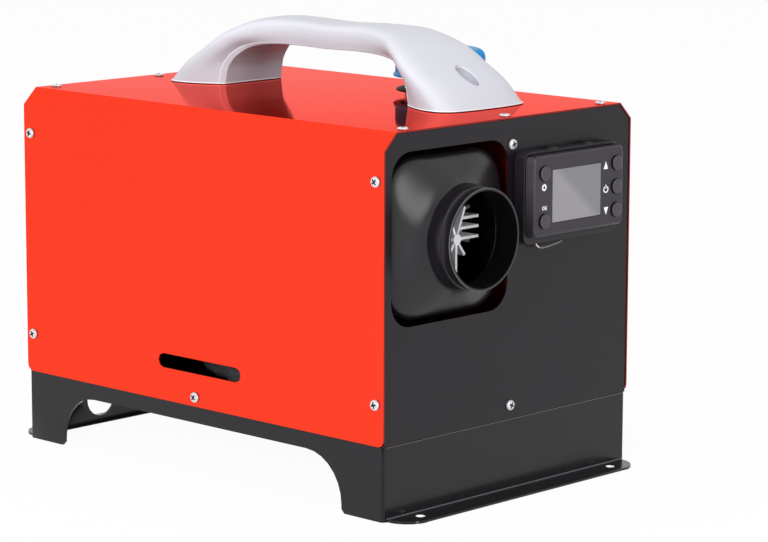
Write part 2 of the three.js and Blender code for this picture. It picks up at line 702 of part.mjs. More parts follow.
function baseFrame() {
  const width = BODY_WIDTH - 2 * BASE_INSET;
  const length = BODY_LENGTH - 2 * BASE_INSET;
  const outer = roundedRectangle(-width / 2, BASE_INSET, width, length, BASE_EDGE_RADIUS, 2);
  const inner = roundedRectangle(
    -width / 2 + BASE_SHEET, BASE_INSET + BASE_SHEET,
    width - 2 * BASE_SHEET, length - 2 * BASE_SHEET, BASE_EDGE_RADIUS - BASE_SHEET / 2, 1);
  const tray = cut(prism(outer, 'z', 0, BASE_HEIGHT), [
    prism(inner, 'z', -OVERCUT, BASE_HEIGHT - BASE_SHEET),
    prism(archOutline(), 'x', -BODY_WIDTH, BODY_WIDTH),
  ]);
  const frame = join([tray, footFlange(true), footFlange(false), sideTab(-1), sideTab(1)]);
  const flangeHoles = [];
  for (const x of [-FLANGE_HOLE_X, FLANGE_HOLE_X]) {
    for (const y of [-FLANGE_HOLE_REACH, BODY_LENGTH + FLANGE_HOLE_REACH]) {
      flangeHoles.push(rod('z', [x, y], FLANGE_HOLE_RADIUS, -OVERCUT, BASE_SHEET + OVERCUT, 12));
    }
  }
  return cut(frame, [
    ...flangeHoles,
    ...screwHoles('x', [SIDE_SCREWS[4]]),
    rod('y', [HOSE_HOLE_X, HOSE_HOLE_HEIGHT], HOSE_HOLE_RADIUS, BODY_LENGTH / 2, BODY_LENGTH, 20),
    trayHole(EXHAUST_TRAY_Y, EXHAUST_RADIUS),
    trayHole(INTAKE_TRAY_Y, INTAKE_RADIUS),
  ]);
}

function trayHole(y, radius) {
  return rod('z', [HEATER_X, y], radius + PIPE_PLAY, ARCH_HEIGHT, BASE_HEIGHT + OVERCUT, 16);
}

function cover() {
  const sideView = new THREE.Shape([
    ...arcPoints(COVER_CORNER, COVER_BOTTOM + COVER_CORNER, COVER_CORNER, 180, 270, 3),
    ...arcPoints(BODY_LENGTH - COVER_CORNER, COVER_BOTTOM + COVER_CORNER, COVER_CORNER, 270, 360, 3),
    new THREE.Vector2(BODY_LENGTH, BODY_TOP + OVERCUT),
    new THREE.Vector2(0, BODY_TOP + OVERCUT),
  ]);
  const folded = prism(bodyOutline(0, COVER_BOTTOM), 'y', 0, BODY_LENGTH)
    .subtract(prism(bodyOutline(COVER_SHEET, COVER_BOTTOM - OVERCUT), 'y', -OVERCUT, BODY_LENGTH + OVERCUT))
    .intersect(prism(sideView, 'x', -BODY_WIDTH, BODY_WIDTH));
  const slotShape = slot(SIDE_SLOT_Y, BASE_HEIGHT + SIDE_SLOT_HEIGHT, SIDE_SLOT_LENGTH, SIDE_SLOT_WIDTH);
  return cut(folded, [
    ...screwHoles('x', SIDE_SCREWS),
    ...topScrewHoles(),
    prism(slotShape, 'x', -BODY_WIDTH, BODY_WIDTH),
    rod('z', [NECK_X, NECK_Y], FILLER_HOLE_RADIUS, TANK_TOP, BODY_TOP + OVERCUT, 32),
  ]);
}

// A panel with its edges folded back into the cover, its face at the front or at the rear.
function panelPan(front) {
  const inset = COVER_SHEET + SEAT_GAP;
  const place = (from, to) => (front ? [from, to] : [BODY_LENGTH - to, BODY_LENGTH - from]);
  const outer = prism(bodyOutline(inset, COVER_BOTTOM), 'y', ...place(PANEL_FACE, PANEL_FACE + PAN_DEPTH));
  const inner = prism(bodyOutline(inset + PANEL_SHEET, COVER_BOTTOM + PANEL_SHEET), 'y',
    ...place(PANEL_FACE + PANEL_SHEET, PANEL_FACE + PAN_DEPTH + OVERCUT));
  return cut(outer.subtract(inner), [...screwHoles('x', SIDE_SCREWS.slice(0, 4)), ...topScrewHoles()]);
}

function faceScrewHoles() {
  return FACE_SCREWS.map((z) => rod('y', [0, z], SCREW_HOLE, 0, PAN_DEPTH, 10));
}

function frontPanel() {
  const opening = roundedRectangle(
    HEATER_X - OPENING_WIDTH / 2, HEATER_Z + OPENING_RISE - OPENING_HEIGHT / 2,
    OPENING_WIDTH, OPENING_HEIGHT, OPENING_CORNER, 6);
  return cut(panelPan(true), [
    ...faceScrewHoles(),
    prism(opening, 'y', 0, PAN_DEPTH),
    rod('y', [LEAD_ENTRY[0], LEAD_ENTRY[2]], LEAD_HOLE_RADIUS, 0, PAN_DEPTH, 12),
  ]);
}

function rearPanel() {
  const slots = [];
  for (let i = 0; i < VENT_COUNT; i += 1) {
    const z = HEATER_Z + (i - (VENT_COUNT - 1) / 2) * VENT_PITCH;
    slots.push(prism(slot(HEATER_X, z, VENT_SLOT_LENGTH, VENT_SLOT_WIDTH), 'y',
      BODY_LENGTH - PAN_DEPTH, BODY_LENGTH));
  }
  const socketHole = rod('y', [SOCKET_X, BASE_HEIGHT + SOCKET_RISE], SOCKET_RADIUS + SHAFT_PLAY,
    BODY_LENGTH - PAN_DEPTH, BODY_LENGTH, 24);
  return cut(panelPan(false), [...slots, socketHole]);
}

function dividerPlate() {
  const face = PANEL_FACE + PANEL_SHEET + SEAT_GAP;
  const end = BODY_LENGTH - face;
  const bottom = COVER_BOTTOM + PANEL_SHEET + SEAT_GAP;
  const top = BODY_TOP - COVER_SHEET - PANEL_SHEET - 2 * SEAT_GAP;
  const web = [DIVIDER_WEB - DIVIDER_SHEET, DIVIDER_WEB];
  const flange = [DIVIDER_LEFT, DIVIDER_WEB];
  const plate = join([
    block(web, [face, end], [bottom, top]),
    block(flange, [face, face + DIVIDER_SHEET], [bottom, top]),
    block(flange, [end - DIVIDER_SHEET, end], [bottom, top]),
    block(flange, [face + PAN_DEPTH, end - PAN_DEPTH],
      [COVER_BOTTOM, COVER_BOTTOM + DIVIDER_SHEET]),
    block(web, [face + PAN_DEPTH, end - PAN_DEPTH], [COVER_BOTTOM, bottom + OVERCUT]),
  ]);
  return cut(plate, [
    ...faceScrewHoles(),
    ...[PANEL_SCREW_INSET, BODY_LENGTH - PANEL_SCREW_INSET].map((y) => rod(
      'z', [0, y], SCREW_HOLE + SCREW_PLAY, BODY_TOP - PAN_DEPTH, BODY_TOP, 10)),
    rod('x', HOSE_CROSSING.slice(1), HOSE_RADIUS + 2 * PIPE_PLAY, DIVIDER_LEFT, BODY_WIDTH, 12),
    rod('x', LEAD_CROSSING.slice(1), LEAD_HOLE_RADIUS, DIVIDER_LEFT, BODY_WIDTH, 12),
  ]);
}

// ---------------------------------------------------------------- screws
function screw() {
  const dome = [
    [0, SCREW_HEAD_HEIGHT], [SCREW_HEAD_RADIUS * 0.7, SCREW_HEAD_HEIGHT * 0.85],
    [SCREW_HEAD_RADIUS, SCREW_HEAD_HEIGHT * 0.3], [SCREW_HEAD_RADIUS, 0],
    [SCREW_SHANK_RADIUS, 0], [SCREW_SHANK_RADIUS, -SCREW_LENGTH], [0, -SCREW_LENGTH],
  ];
  const lathe = new THREE.LatheGeometry(dome.map(([r, h]) => new THREE.Vector2(r, h)), 8);
  const depth = [SCREW_HEAD_HEIGHT - RECESS_DEPTH, SCREW_HEAD_HEIGHT + OVERCUT];
  const long = [-RECESS_LENGTH / 2, RECESS_LENGTH / 2];
  const narrow = [-RECESS_WIDTH / 2, RECESS_WIDTH / 2];
  return cut(toSolid(lathe), [block(long, depth, narrow), block(narrow, depth, long)]);
}

// Screws stand with their heads outwards on the given side of the object.
function addScrew(name, solid, [x, y, z], rotation) {
  const piece = new THREE.Mesh(toGeometry(solid), STEEL());
  piece.name = name;
  piece.position.set(x, y, z);
  piece.rotation.set(...rotation);
  heater.add(piece);
}

function addScrews() {
  const solid = screw();
  const quarter = Math.PI / 2;
  const places = ['front_low', 'front_high', 'rear_low', 'rear_high', 'middle'];
  SIDE_SCREWS.forEach(([y, z], i) => {
    const x = BODY_WIDTH / 2 + SEAT_GAP;
    addScrew(`side_screw_left_${places[i]}`, solid, [-x, y, z], [0, 0, quarter]);
    addScrew(`side_screw_right_${places[i]}`, solid, [x, y, z], [0, 0, -quarter]);
  });
  const topNames = ['front_left', 'front_middle', 'front_right', 'rear_left', 'rear_middle', 'rear_right'];
  TOP_SCREWS.forEach(([x, y], i) => {
    addScrew(`top_screw_${topNames[i]}`, solid, [x, y, BODY_TOP + SEAT_GAP], [quarter, 0, 0]);
  });
  FACE_SCREWS.forEach((z, i) => {
    addScrew(`front_screw_${['low', 'high'][i]}`, solid, [0, PANEL_FACE - SEAT_GAP, z], [2 * quarter, 0, 0]);
  });
}

// ---------------------------------------------------------------- heater unit
function hoodRings(wall) {
  const rings = [];
  const steps = 6;
  rings.push(squareRing(CASING_HALF - wall, CASING_CORNER - wall, HOOD_BACK));
  for (let i = 0; i <= steps; i += 1) {
    const t = i / steps;
    const ease = t * t * (3 - 2 * t);
    const y = THREE.MathUtils.lerp(HOOD_BACK - HOOD_STRAIGHT, COLLAR_START, t);
    const half = THREE.MathUtils.lerp(CASING_HALF, COLLAR_RADIUS, ease);
    const corner = THREE.MathUtils.lerp(CASING_CORNER, COLLAR_RADIUS, Math.sqrt(ease));
    rings.push(squareRing(half - wall, Math.min(corner, half) - wall, y));
  }
  return rings;
}

function outletHood() {
  const band = COLLAR_START - COLLAR_BAND;
  const outside = join([
    loft(hoodRings(0)),
    heaterRod(COLLAR_RADIUS, band, COLLAR_START + OVERCUT, HOOD_SIDES),
    heaterRod(COLLAR_RADIUS - COLLAR_STEP, COLLAR_TIP, band + OVERCUT, HOOD_SIDES),
    heaterRod(COLLAR_RADIUS - COLLAR_STEP / 2, COLLAR_TIP, COLLAR_TIP + COLLAR_LIP, HOOD_SIDES),
  ]);
  const inside = hoodRings(HOOD_WALL);
  inside[0].forEach((point) => { point.y += OVERCUT; });
  return cut(outside, [
    loft(inside),
    heaterRod(COLLAR_BORE, COLLAR_TIP - OVERCUT, COLLAR_START + OVERCUT, HOOD_SIDES),
  ]);
}

function casingShell() {
  return prism(ringOutline(CASING_HALF, CASING_CORNER), 'y', CASING_FRONT, CASING_END)
    .subtract(prism(ringOutline(CASING_INNER, CASING_CORNER - CASING_WALL), 'y',
      CASING_FRONT - OVERCUT, CASING_END + OVERCUT));
}

function heaterHalf(upper) {
  const far = HEATER_Z + (upper ? 1 : -1) * BODY_WIDTH;
  const seam = HEATER_Z + (upper ? 1 : -1) * SEAT_GAP / 2;
  return block([-BODY_WIDTH, BODY_WIDTH], [-BODY_LENGTH, BODY_LENGTH * 2],
    [Math.min(far, seam), Math.max(far, seam)]);
}

function casingLower() {
  const foot = [SHELF_TOP + SEAT_GAP, HEATER_Z - CASING_HALF + CASING_WALL / 2];
  const feet = [];
  for (const y of [SHELF_START + SHELF_FOOT, SHELF_START + SHELF_LENGTH - 2 * SHELF_FOOT]) {
    for (const x of [HEATER_X - CASING_HALF / 2, HEATER_X + CASING_HALF / 2 - LUG_WIDTH]) {
      feet.push(block([x, x + LUG_WIDTH], [y, y + SHELF_FOOT], foot));
    }
  }
  const stubHole = (y, radius) => rod('z', [HEATER_X, y], radius + PIPE_PLAY, SHELF_TOP, HEATER_Z, 16);
  return cut(join([casingShell().intersect(heaterHalf(false)), ...feet]), [
    stubHole(EXHAUST_Y, EXHAUST_RADIUS),
    stubHole(INTAKE_Y, INTAKE_RADIUS),
    rod('z', [FUEL_INLET_X, FUEL_INLET_Y], NIPPLE_RADIUS + PIPE_PLAY, SHELF_TOP, HEATER_Z, 12),
  ]);
}

function casingUpper() {
  const end = LEAD_ROUTE[LEAD_ROUTE.length - 1];
  return casingShell().intersect(heaterHalf(true))
    .subtract(rod('x', [end[1], end[2]], LEAD_HOLE_RADIUS, HEATER_X, HEATER_X + BODY_WIDTH, 12));
}

function radialBar([x0, z0], [x1, z1], width, from, to) {
  const length = Math.hypot(x1 - x0, z1 - z0);
  const angle = THREE.MathUtils.radToDeg(Math.atan2(z1 - z0, x1 - x0));
  return block([0, length], [from, to], [-width / 2, width / 2])
    .rotate([0, -angle, 0]).translate([HEATER_X + x0, 0, HEATER_Z + z0]);
}

// The cast front of the exchanger: a hub with splayed bars and level ribs on both sides.
function exchangerNose() {
  const back = EXCHANGER_FRONT + OVERCUT;
  const hub = [0, NOSE_HUB_Z];
  const bars = [radialBar(hub, NOSE_BOTTOM, NOSE_RIB, NOSE_TIP, back)];
  for (const side of [-1, 1]) {
    const upper = [side * NOSE_UPPER[0], NOSE_UPPER[1]];
    const lower = [side * NOSE_LOWER[0], NOSE_LOWER[1]];
    bars.push(radialBar(hub, upper, NOSE_RIB, NOSE_TIP, back));
    bars.push(radialBar(hub, lower, NOSE_RIB, NOSE_TIP, back));
    for (const z of NOSE_LEVELS) {
      const root = upper[0] * (z - NOSE_HUB_Z) / (upper[1] - NOSE_HUB_Z);
      bars.push(radialBar([root, z], [side * NOSE_HALF_WIDTH, z], NOSE_RIB, NOSE_TIP + OVERCUT, back));
    }
  }
  const centre = rod('y', [HEATER_X, HEATER_Z + NOSE_HUB_Z], NOSE_HUB_RADIUS, NOSE_TIP - OVERCUT, back, 12);
  return join([centre, ...bars]);
}

function heatExchanger() {
  const fins = [];
  for (let i = 0; i < FIN_COUNT; i += 1) {
    const fin = block(
      [HEATER_X + EXCHANGER_RADIUS - OVERCUT, HEATER_X + FIN_RADIUS],
      [EXCHANGER_FRONT + FLANGE_THICKNESS, EXCHANGER_END - 2 * FLANGE_THICKNESS],
      [HEATER_Z - FIN_THICKNESS / 2, HEATER_Z + FIN_THICKNESS / 2]);
    fins.push(turnAboutHeater(fin, 360 * (i + 0.5) / FIN_COUNT));
  }
  const stubTop = HEATER_Z - EXCHANGER_RADIUS + EXCHANGER_WALL;
  const body = join([
    heaterRod(EXCHANGER_RADIUS, EXCHANGER_FRONT, EXCHANGER_END),
    lugs(EXCHANGER_RADIUS - OVERCUT, EXCHANGER_END - FLANGE_THICKNESS, EXCHANGER_END),
    exchangerNose(),
    rod('z', [HEATER_X, EXHAUST_Y], EXHAUST_RADIUS, STUB_BOTTOM, stubTop, 16),
    ...fins,
  ]);
  return cut(body, [
    heaterRod(EXCHANGER_RADIUS - EXCHANGER_WALL, EXCHANGER_FRONT + EXCHANGER_WALL, EXCHANGER_END + OVERCUT),
    rod('z', [HEATER_X, EXHAUST_Y], EXHAUST_RADIUS - PIPE_WALL, STUB_BOTTOM - OVERCUT, HEATER_Z, 16),
  ]);
}

function burner() {
  const headFront = BURNER_FRONT + FLANGE_THICKNESS;
  const body = join([
    heaterRod(EXCHANGER_RADIUS, BURNER_FRONT, headFront),
    heaterRod(BURNER_HEAD_RADIUS, headFront - OVERCUT, BURNER_END),
    heaterRod(BURNER_RADIUS, BURNER_FRONT - BURNER_LENGTH, headFront),
    lugs(BURNER_HEAD_RADIUS - OVERCUT, BURNER_END - FLANGE_THICKNESS, BURNER_END),
    rod('z', [FUEL_INLET_X, FUEL_INLET_Y], NIPPLE_RADIUS, STUB_BOTTOM,
      HEATER_Z - BURNER_HEAD_RADIUS / 2, 12),
  ]);
  return cut(body, [
    heaterRod(BURNER_RADIUS - BURNER_WALL, BURNER_FRONT - BURNER_LENGTH - OVERCUT, BURNER_FRONT),
    heaterRod(BURNER_RADIUS / 2, BURNER_FRONT - OVERCUT, BURNER_END + OVERCUT),
    rod('z', [HEATER_X, FUEL_INLET_Y], GLOW_PLUG_RADIUS + SHAFT_PLAY, HEATER_Z, HEATER_Z + BODY_WIDTH, 12),
  ]);
}

function glowPlug() {
  const bottom = HEATER_Z + BURNER_HEAD_RADIUS / 2;
  const seat = HEATER_Z + BURNER_HEAD_RADIUS + SEAT_GAP;
  return join([
    rod('z', [HEATER_X, FUEL_INLET_Y], GLOW_PLUG_RADIUS, bottom, bottom + GLOW_PLUG_LENGTH, 12),
    rod('z', [HEATER_X, FUEL_INLET_Y], GLOW_HEX_RADIUS, seat, seat + GLOW_PLUG_RADIUS, 6),
  ]);
}

function blowerHousing() {
  const body = join([
    heaterRod(BLOWER_RADIUS, BLOWER_FRONT, BLOWER_END),
    lugs(BLOWER_RADIUS - OVERCUT, BLOWER_END - FLANGE_THICKNESS, BLOWER_END),
    rod('z', [HEATER_X, INTAKE_Y], INTAKE_RADIUS, STUB_BOTTOM, HEATER_Z - BLOWER_RADIUS + BLOWER_WALL, 16),
  ]);
  return cut(body, [
    heaterRod(BLOWER_RADIUS - BLOWER_WALL, BLOWER_FRONT + BLOWER_WALL, BLOWER_END - BLOWER_WALL),
    heaterRod(BURNER_RADIUS / 2, BLOWER_FRONT - OVERCUT, BLOWER_FRONT + BLOWER_WALL + OVERCUT),
    heaterRod(SHAFT_RADIUS + SHAFT_PLAY, BLOWER_FRONT, BLOWER_END + OVERCUT, 12),
    rod('z', [HEATER_X, INTAKE_Y], INTAKE_RADIUS - PIPE_WALL,
      STUB_BOTTOM - OVERCUT, HEATER_Z - IMPELLER_RADIUS, 16),
  ]);
}

function combustionImpeller() {
  const back = IMPELLER_FRONT + IMPELLER_LENGTH;
  const hub = FAN_HUB_RADIUS / 2;
  const vane = block([HEATER_X + hub - OVERCUT, HEATER_X + IMPELLER_RADIUS], [IMPELLER_FRONT, back],
    [HEATER_Z - OVERCUT, HEATER_Z + OVERCUT]);
  const pieces = [
    heaterRod(IMPELLER_RADIUS, back - 2 * OVERCUT, back),
    heaterRod(hub, IMPELLER_FRONT, back, 16),
  ];
  for (let i = 0; i < IMPELLER_VANES; i += 1) pieces.push(turnAboutHeater(vane, 360 * i / IMPELLER_VANES));
  return join(pieces).subtract(
    heaterRod(SHAFT_RADIUS + SHAFT_PLAY, IMPELLER_FRONT - OVERCUT, back + OVERCUT, 12));
}

function fanWheel() {
  const middle = (FAN_FRONT + FAN_END) / 2;
  const reach = [FAN_HUB_RADIUS - OVERCUT, FAN_RADIUS];
  const blade = block(reach, [-OVERCUT, OVERCUT], [-FAN_LENGTH / 2, FAN_LENGTH / 2])
    .rotate([FAN_BLADE_TILT, 0, 0]).translate([HEATER_X, middle, HEATER_Z]);
  const pieces = [heaterRod(FAN_HUB_RADIUS, FAN_FRONT, FAN_END, 16)];
  for (let i = 0; i < FAN_BLADES; i += 1) pieces.push(turnAboutHeater(blade, 360 * i / FAN_BLADES));
  return join(pieces).subtract(
    heaterRod(SHAFT_RADIUS + SHAFT_PLAY, FAN_FRONT - OVERCUT, FAN_END + OVERCUT, 12));
}

// Motor can with a bore for the shaft.
function blowerMotor() {
  return heaterPipe(MOTOR_RADIUS, SHAFT_RADIUS + SHAFT_PLAY, MOTOR_FRONT, MOTOR_END);
}

function inletGuard() {
  const front = CASING_END + SEAT_GAP;
  const back = front + GUARD_THICKNESS;
  const plate = prism(ringOutline(CASING_HALF, CASING_CORNER), 'y', front, back)
    .subtract(heaterRod(FAN_RADIUS, front - OVERCUT, back + OVERCUT, HOOD_SIDES));
  const bars = [];
  for (let i = 0; i < GUARD_BARS; i += 1) {
    const x = HEATER_X + (i - (GUARD_BARS - 1) / 2) * 2 * FAN_RADIUS / GUARD_BARS;
    const reach = Math.sqrt(FAN_RADIUS ** 2 - (x - HEATER_X) ** 2) + OVERCUT;
    bars.push(block([x - GUARD_BAR / 2, x + GUARD_BAR / 2], [front, front + GUARD_BAR],
      [HEATER_Z - reach, HEATER_Z + reach]));
  }
  const crossbar = block([HEATER_X - FAN_RADIUS - OVERCUT, HEATER_X + FAN_RADIUS + OVERCUT],
    [front, front + GUARD_BAR], [HEATER_Z - GUARD_BAR / 2, HEATER_Z + GUARD_BAR / 2]);
  return join([plate, crossbar, ...bars]);
}

function controlUnit() {
  const top = HEATER_Z + CASING_INNER - SEAT_GAP;
  const middle = (MOTOR_FRONT + MOTOR_END) / 2;
  return prism(roundedRectangle(HEATER_X - CONTROL_WIDTH / 2, middle - CONTROL_LENGTH / 2,
    CONTROL_WIDTH, CONTROL_LENGTH, 2, 1), 'z', top - CONTROL_HEIGHT, top);
}

function heaterShelf() {
  const x = [HEATER_X - CASING_HALF, HEATER_X + CASING_HALF];
  const y = [SHELF_START, SHELF_START + SHELF_LENGTH];
  const leg = [COVER_BOTTOM, SHELF_TOP];
  const footTop = COVER_BOTTOM + SHELF_SHEET;
  const shelf = join([
    block(x, y, [SHELF_BOTTOM, SHELF_TOP]),
    block(x, [y[0], y[0] + SHELF_SHEET], leg),
    block(x, [y[1] - SHELF_SHEET, y[1]], leg),
    block(x, [y[0] - SHELF_FOOT, y[0] + SHELF_SHEET], [COVER_BOTTOM, footTop]),
    block(x, [y[1] - SHELF_SHEET, y[1] + SHELF_FOOT], [COVER_BOTTOM, footTop]),
  ]);
  const under = SHELF_BOTTOM - OVERCUT;
  const stubHole = (place, radius) => rod('z', place, radius + PIPE_PLAY, under, HEATER_Z, 16);
  return cut(shelf, [
    block([x[0] + SHELF_RAIL, x[1] - SHELF_RAIL], [0, BODY_LENGTH],
      [footTop, SHELF_BOTTOM - SHELF_RAIL / 2]),
    stubHole([HEATER_X, EXHAUST_Y], EXHAUST_RADIUS),
    stubHole([HEATER_X, INTAKE_Y], INTAKE_RADIUS),
    stubHole([FUEL_INLET_X, FUEL_INLET_Y], NIPPLE_RADIUS),
  ]);
}

function dropThroughTray(y) {
  return new THREE.LineCurve3(
    new THREE.Vector3(HEATER_X, y, BASE_HEIGHT + SEAT_GAP), new THREE.Vector3(HEATER_X, y, PIPE_OUTLET));
}

function exhaustPipe() {
  const top = STUB_BOTTOM - SEAT_GAP;
  const bend = (top - BASE_HEIGHT) / 2;
  const path = new THREE.CurvePath();
  path.add(bezier([
    [HEATER_X, EXHAUST_Y, top], [HEATER_X, EXHAUST_Y, top - bend],
    [HEATER_X, EXHAUST_TRAY_Y, BASE_HEIGHT + bend], [HEATER_X, EXHAUST_TRAY_Y, BASE_HEIGHT + SEAT_GAP],
  ]));
  path.add(dropThroughTray(EXHAUST_TRAY_Y));
  return tube(path, EXHAUST_RADIUS, 12, 11, EXHAUST_RADIUS - PIPE_WALL);
}

function intakePipe() {
  const top = STUB_BOTTOM - SEAT_GAP;
  const turnY = INTAKE_Y + INTAKE_SWING * (top - BASE_HEIGHT);
  const turnZ = BASE_HEIGHT + (top - BASE_HEIGHT) / 2;
  const path = new THREE.CurvePath();
  path.add(bezier([
    [HEATER_X, INTAKE_Y, top], [HEATER_X, INTAKE_Y, turnZ],
    [HEATER_X, turnY, top], [HEATER_X, turnY, turnZ],
  ]));
  path.add(bezier([
    [HEATER_X, turnY, turnZ], [HEATER_X, turnY, BASE_HEIGHT + 2 * PIPE_PLAY],
    [HEATER_X, INTAKE_TRAY_Y, turnZ], [HEATER_X, INTAKE_TRAY_Y, BASE_HEIGHT + SEAT_GAP],
  ]));
  path.add(dropThroughTray(INTAKE_TRAY_Y));
  return tube(path, INTAKE_RADIUS, 12, 16, INTAKE_RADIUS - PIPE_WALL);
}

// ---------------------------------------------------------------- fuel
function fuelTank() {
  const width = TANK_RIGHT - TANK_LEFT;
  const outer = roundedRectangle(TANK_LEFT, TANK_START, width, TANK_LENGTH, TANK_CORNER, 3);
  const inner = roundedRectangle(TANK_LEFT + TANK_WALL, TANK_START + TANK_WALL,
    width - 2 * TANK_WALL, TANK_LENGTH - 2 * TANK_WALL, TANK_CORNER - TANK_WALL, 3);
  const body = join([
    prism(outer, 'z', COVER_BOTTOM, TANK_TOP),
    rod('z', [NECK_X, NECK_Y], NECK_RADIUS, TANK_TOP - OVERCUT, NECK_TOP, 28),
    rod('y', [NIPPLE_X, COVER_BOTTOM + NIPPLE_RISE], NIPPLE_RADIUS,
      TANK_START - NIPPLE_LENGTH, TANK_START + OVERCUT, 12),
  ]);
  return cut(body, [
    prism(inner, 'z', COVER_BOTTOM + TANK_WALL, TANK_TOP - TANK_WALL),
    rod('z', [NECK_X, NECK_Y], NECK_BORE, TANK_TOP - TANK_WALL - OVERCUT, NECK_TOP + OVERCUT, 28),
  ]);
}

function fuelCap() {
  const top = CAP_BOTTOM + CAP_HEIGHT;
  const rimTop = CAP_BOTTOM + CAP_RIM_HEIGHT;
  const outer = [
    ...CAP_CROWN.map(([across, down]) => [CAP_RADIUS * across, top - CAP_HEIGHT * down]),
    [CAP_RADIUS, rimTop + CAP_RIM],
    [CAP_RADIUS + CAP_RIM, rimTop],
    [CAP_RADIUS + CAP_RIM, CAP_BOTTOM],
    [0, CAP_BOTTOM],
  ];
  const lathe = new THREE.LatheGeometry(outer.map(([r, h]) => new THREE.Vector2(r, h)), CAP_RIBS);
  lathe.rotateX(Math.PI / 2);
  lathe.translate(NECK_X, NECK_Y, 0);
  const grooves = [];
  for (let i = 0; i < CAP_RIBS; i += 1) {
    const angle = 2 * Math.PI * (i + 0.5) / CAP_RIBS;
    const reach = CAP_RADIUS + CAP_RIB_DEPTH / 2;
    const centre = [NECK_X + reach * Math.cos(angle), NECK_Y + reach * Math.sin(angle)];
    grooves.push(rod('z', centre, 2 * CAP_RIB_DEPTH, rimTop + CAP_RIM, top + OVERCUT, 6));
  }
  return cut(toSolid(lathe), [
    ...grooves,
    rod('z', [NECK_X, NECK_Y], NECK_RADIUS + CAP_THREAD_ROOM, CAP_BOTTOM - OVERCUT, CAP_CEILING, 28),
  ]);
}

// A rubber ring round the neck, with a collar that lies on the cover.
function fillerRing() {
  const seat = BODY_TOP + SEAT_GAP;
  const bore = NECK_RADIUS + SEAT_GAP;
  const centre = [NECK_X, NECK_Y];
  return join([
    pipe('z', centre, FILLER_RING_RADIUS, bore, seat, seat + FILLER_RING_HEIGHT, 28),
    pipe('z', centre, FILLER_HOLE_RADIUS - SEAT_GAP, bore, seat - 2 * PIPE_PLAY, seat + OVERCUT, 28),
  ]);
}

function capGasket() {
  const bottom = NECK_TOP + SEAT_GAP;
  return pipe('z', [NECK_X, NECK_Y], NECK_RADIUS, NECK_BORE, bottom, bottom + GASKET_THICKNESS, 28);
}

function fuelPump() {
  const core = [PUMP_X, PUMP_Y];
  return join([
    rod('z', core, PUMP_RADIUS, PUMP_BOTTOM, PUMP_TOP, 20),
    rod('z', core, NIPPLE_RADIUS, PUMP_BOTTOM - NIPPLE_LENGTH / 2, PUMP_TOP + NIPPLE_LENGTH, 12),
    block([PUMP_X - PUMP_RADIUS / 2, PUMP_X + PUMP_RADIUS / 2],
      [PUMP_Y - PUMP_RADIUS - NIPPLE_RADIUS, PUMP_Y], [PUMP_TOP - CLAMP_HEIGHT, PUMP_TOP]),
  ]);
}

function pumpClamp() {
  const bottom = PUMP_BOTTOM + CLAMP_HEIGHT / 2;
  const top = bottom + CLAMP_HEIGHT;
  const bore = PUMP_RADIUS + SEAT_GAP;
  const ring = rod('z', [PUMP_X, PUMP_Y], bore + CLAMP_WALL, bottom, top, 20);
  const seat = DIVIDER_WEB + SEAT_GAP;
  const foot = block([seat, seat + CLAMP_WALL],
    [PUMP_Y - bore, PUMP_Y + PUMP_RADIUS], [bottom, top + CLAMP_HEIGHT / 2]);
  const arm = block([seat, PUMP_X], [PUMP_Y - CLAMP_WALL, PUMP_Y + CLAMP_WALL], [bottom, top]);
  return join([ring, foot, arm])
    .subtract(rod('z', [PUMP_X, PUMP_Y], bore, bottom - OVERCUT, top + OVERCUT, 20));
}

function tankHose() {
  return tube(bezier(TANK_HOSE_ROUTE), HOSE_RADIUS, 8, 10);
}

function heaterHose() {
  return tube(curveThrough(HEATER_HOSE_ROUTE), HOSE_RADIUS, 8, 26);
}

// ---------------------------------------------------------------- handle
// Points round a crowned section: across as a share of the half width, height from the inner face.
function handleSection([outerY, outerZ, innerY, innerZ, outerHalf, innerHalf]) {
  const right = HANDLE_SECTION.map(([inner, outer, h]) => [innerHalf * inner + outerHalf * outer, h]);
  const round = [...right, [0, 1], ...right.map(([x, h]) => [-x, h]).reverse()];
  return round.map(([x, h]) => new THREE.Vector3(
    HANDLE_X + x,
    HANDLE_Y + THREE.MathUtils.lerp(innerY, outerY, h),
    BODY_TOP + SEAT_GAP + THREE.MathUtils.lerp(innerZ, outerZ, h)));
}

function handle() {
  const mirrored = HANDLE_STATIONS.slice(0, -1).reverse()
    .map(([oy, oz, iy, iz, ow, iw]) => [-oy, oz, -iy, iz, ow, iw]);
  const grip = loft([...HANDLE_STATIONS, ...mirrored].map(handleSection));
  const ovals = [-1, 1].map((end) => {
    const [low, high] = [HANDLE_STATIONS[1], HANDLE_STATIONS[3]];
    const slope = THREE.MathUtils.radToDeg(Math.atan2(high[1] - low[1], high[0] - low[0]));
    const [y, z] = [(low[0] + high[0]) / 2, (low[1] + high[1]) / 2];
    const shape = new THREE.Shape().absellipse(0, 0, OVAL_WIDTH / 2, OVAL_LENGTH / 2, 0, 2 * Math.PI);
    return prism(new THREE.Shape(shape.getPoints(10)), 'z', -OVAL_DEPTH, OVAL_LENGTH / 2)
      .rotate([-end * slope, 0, 0])
      .translate([HANDLE_X, HANDLE_Y + end * y * -1, BODY_TOP + SEAT_GAP + z]);
  });
  return cut(grip, ovals);
}

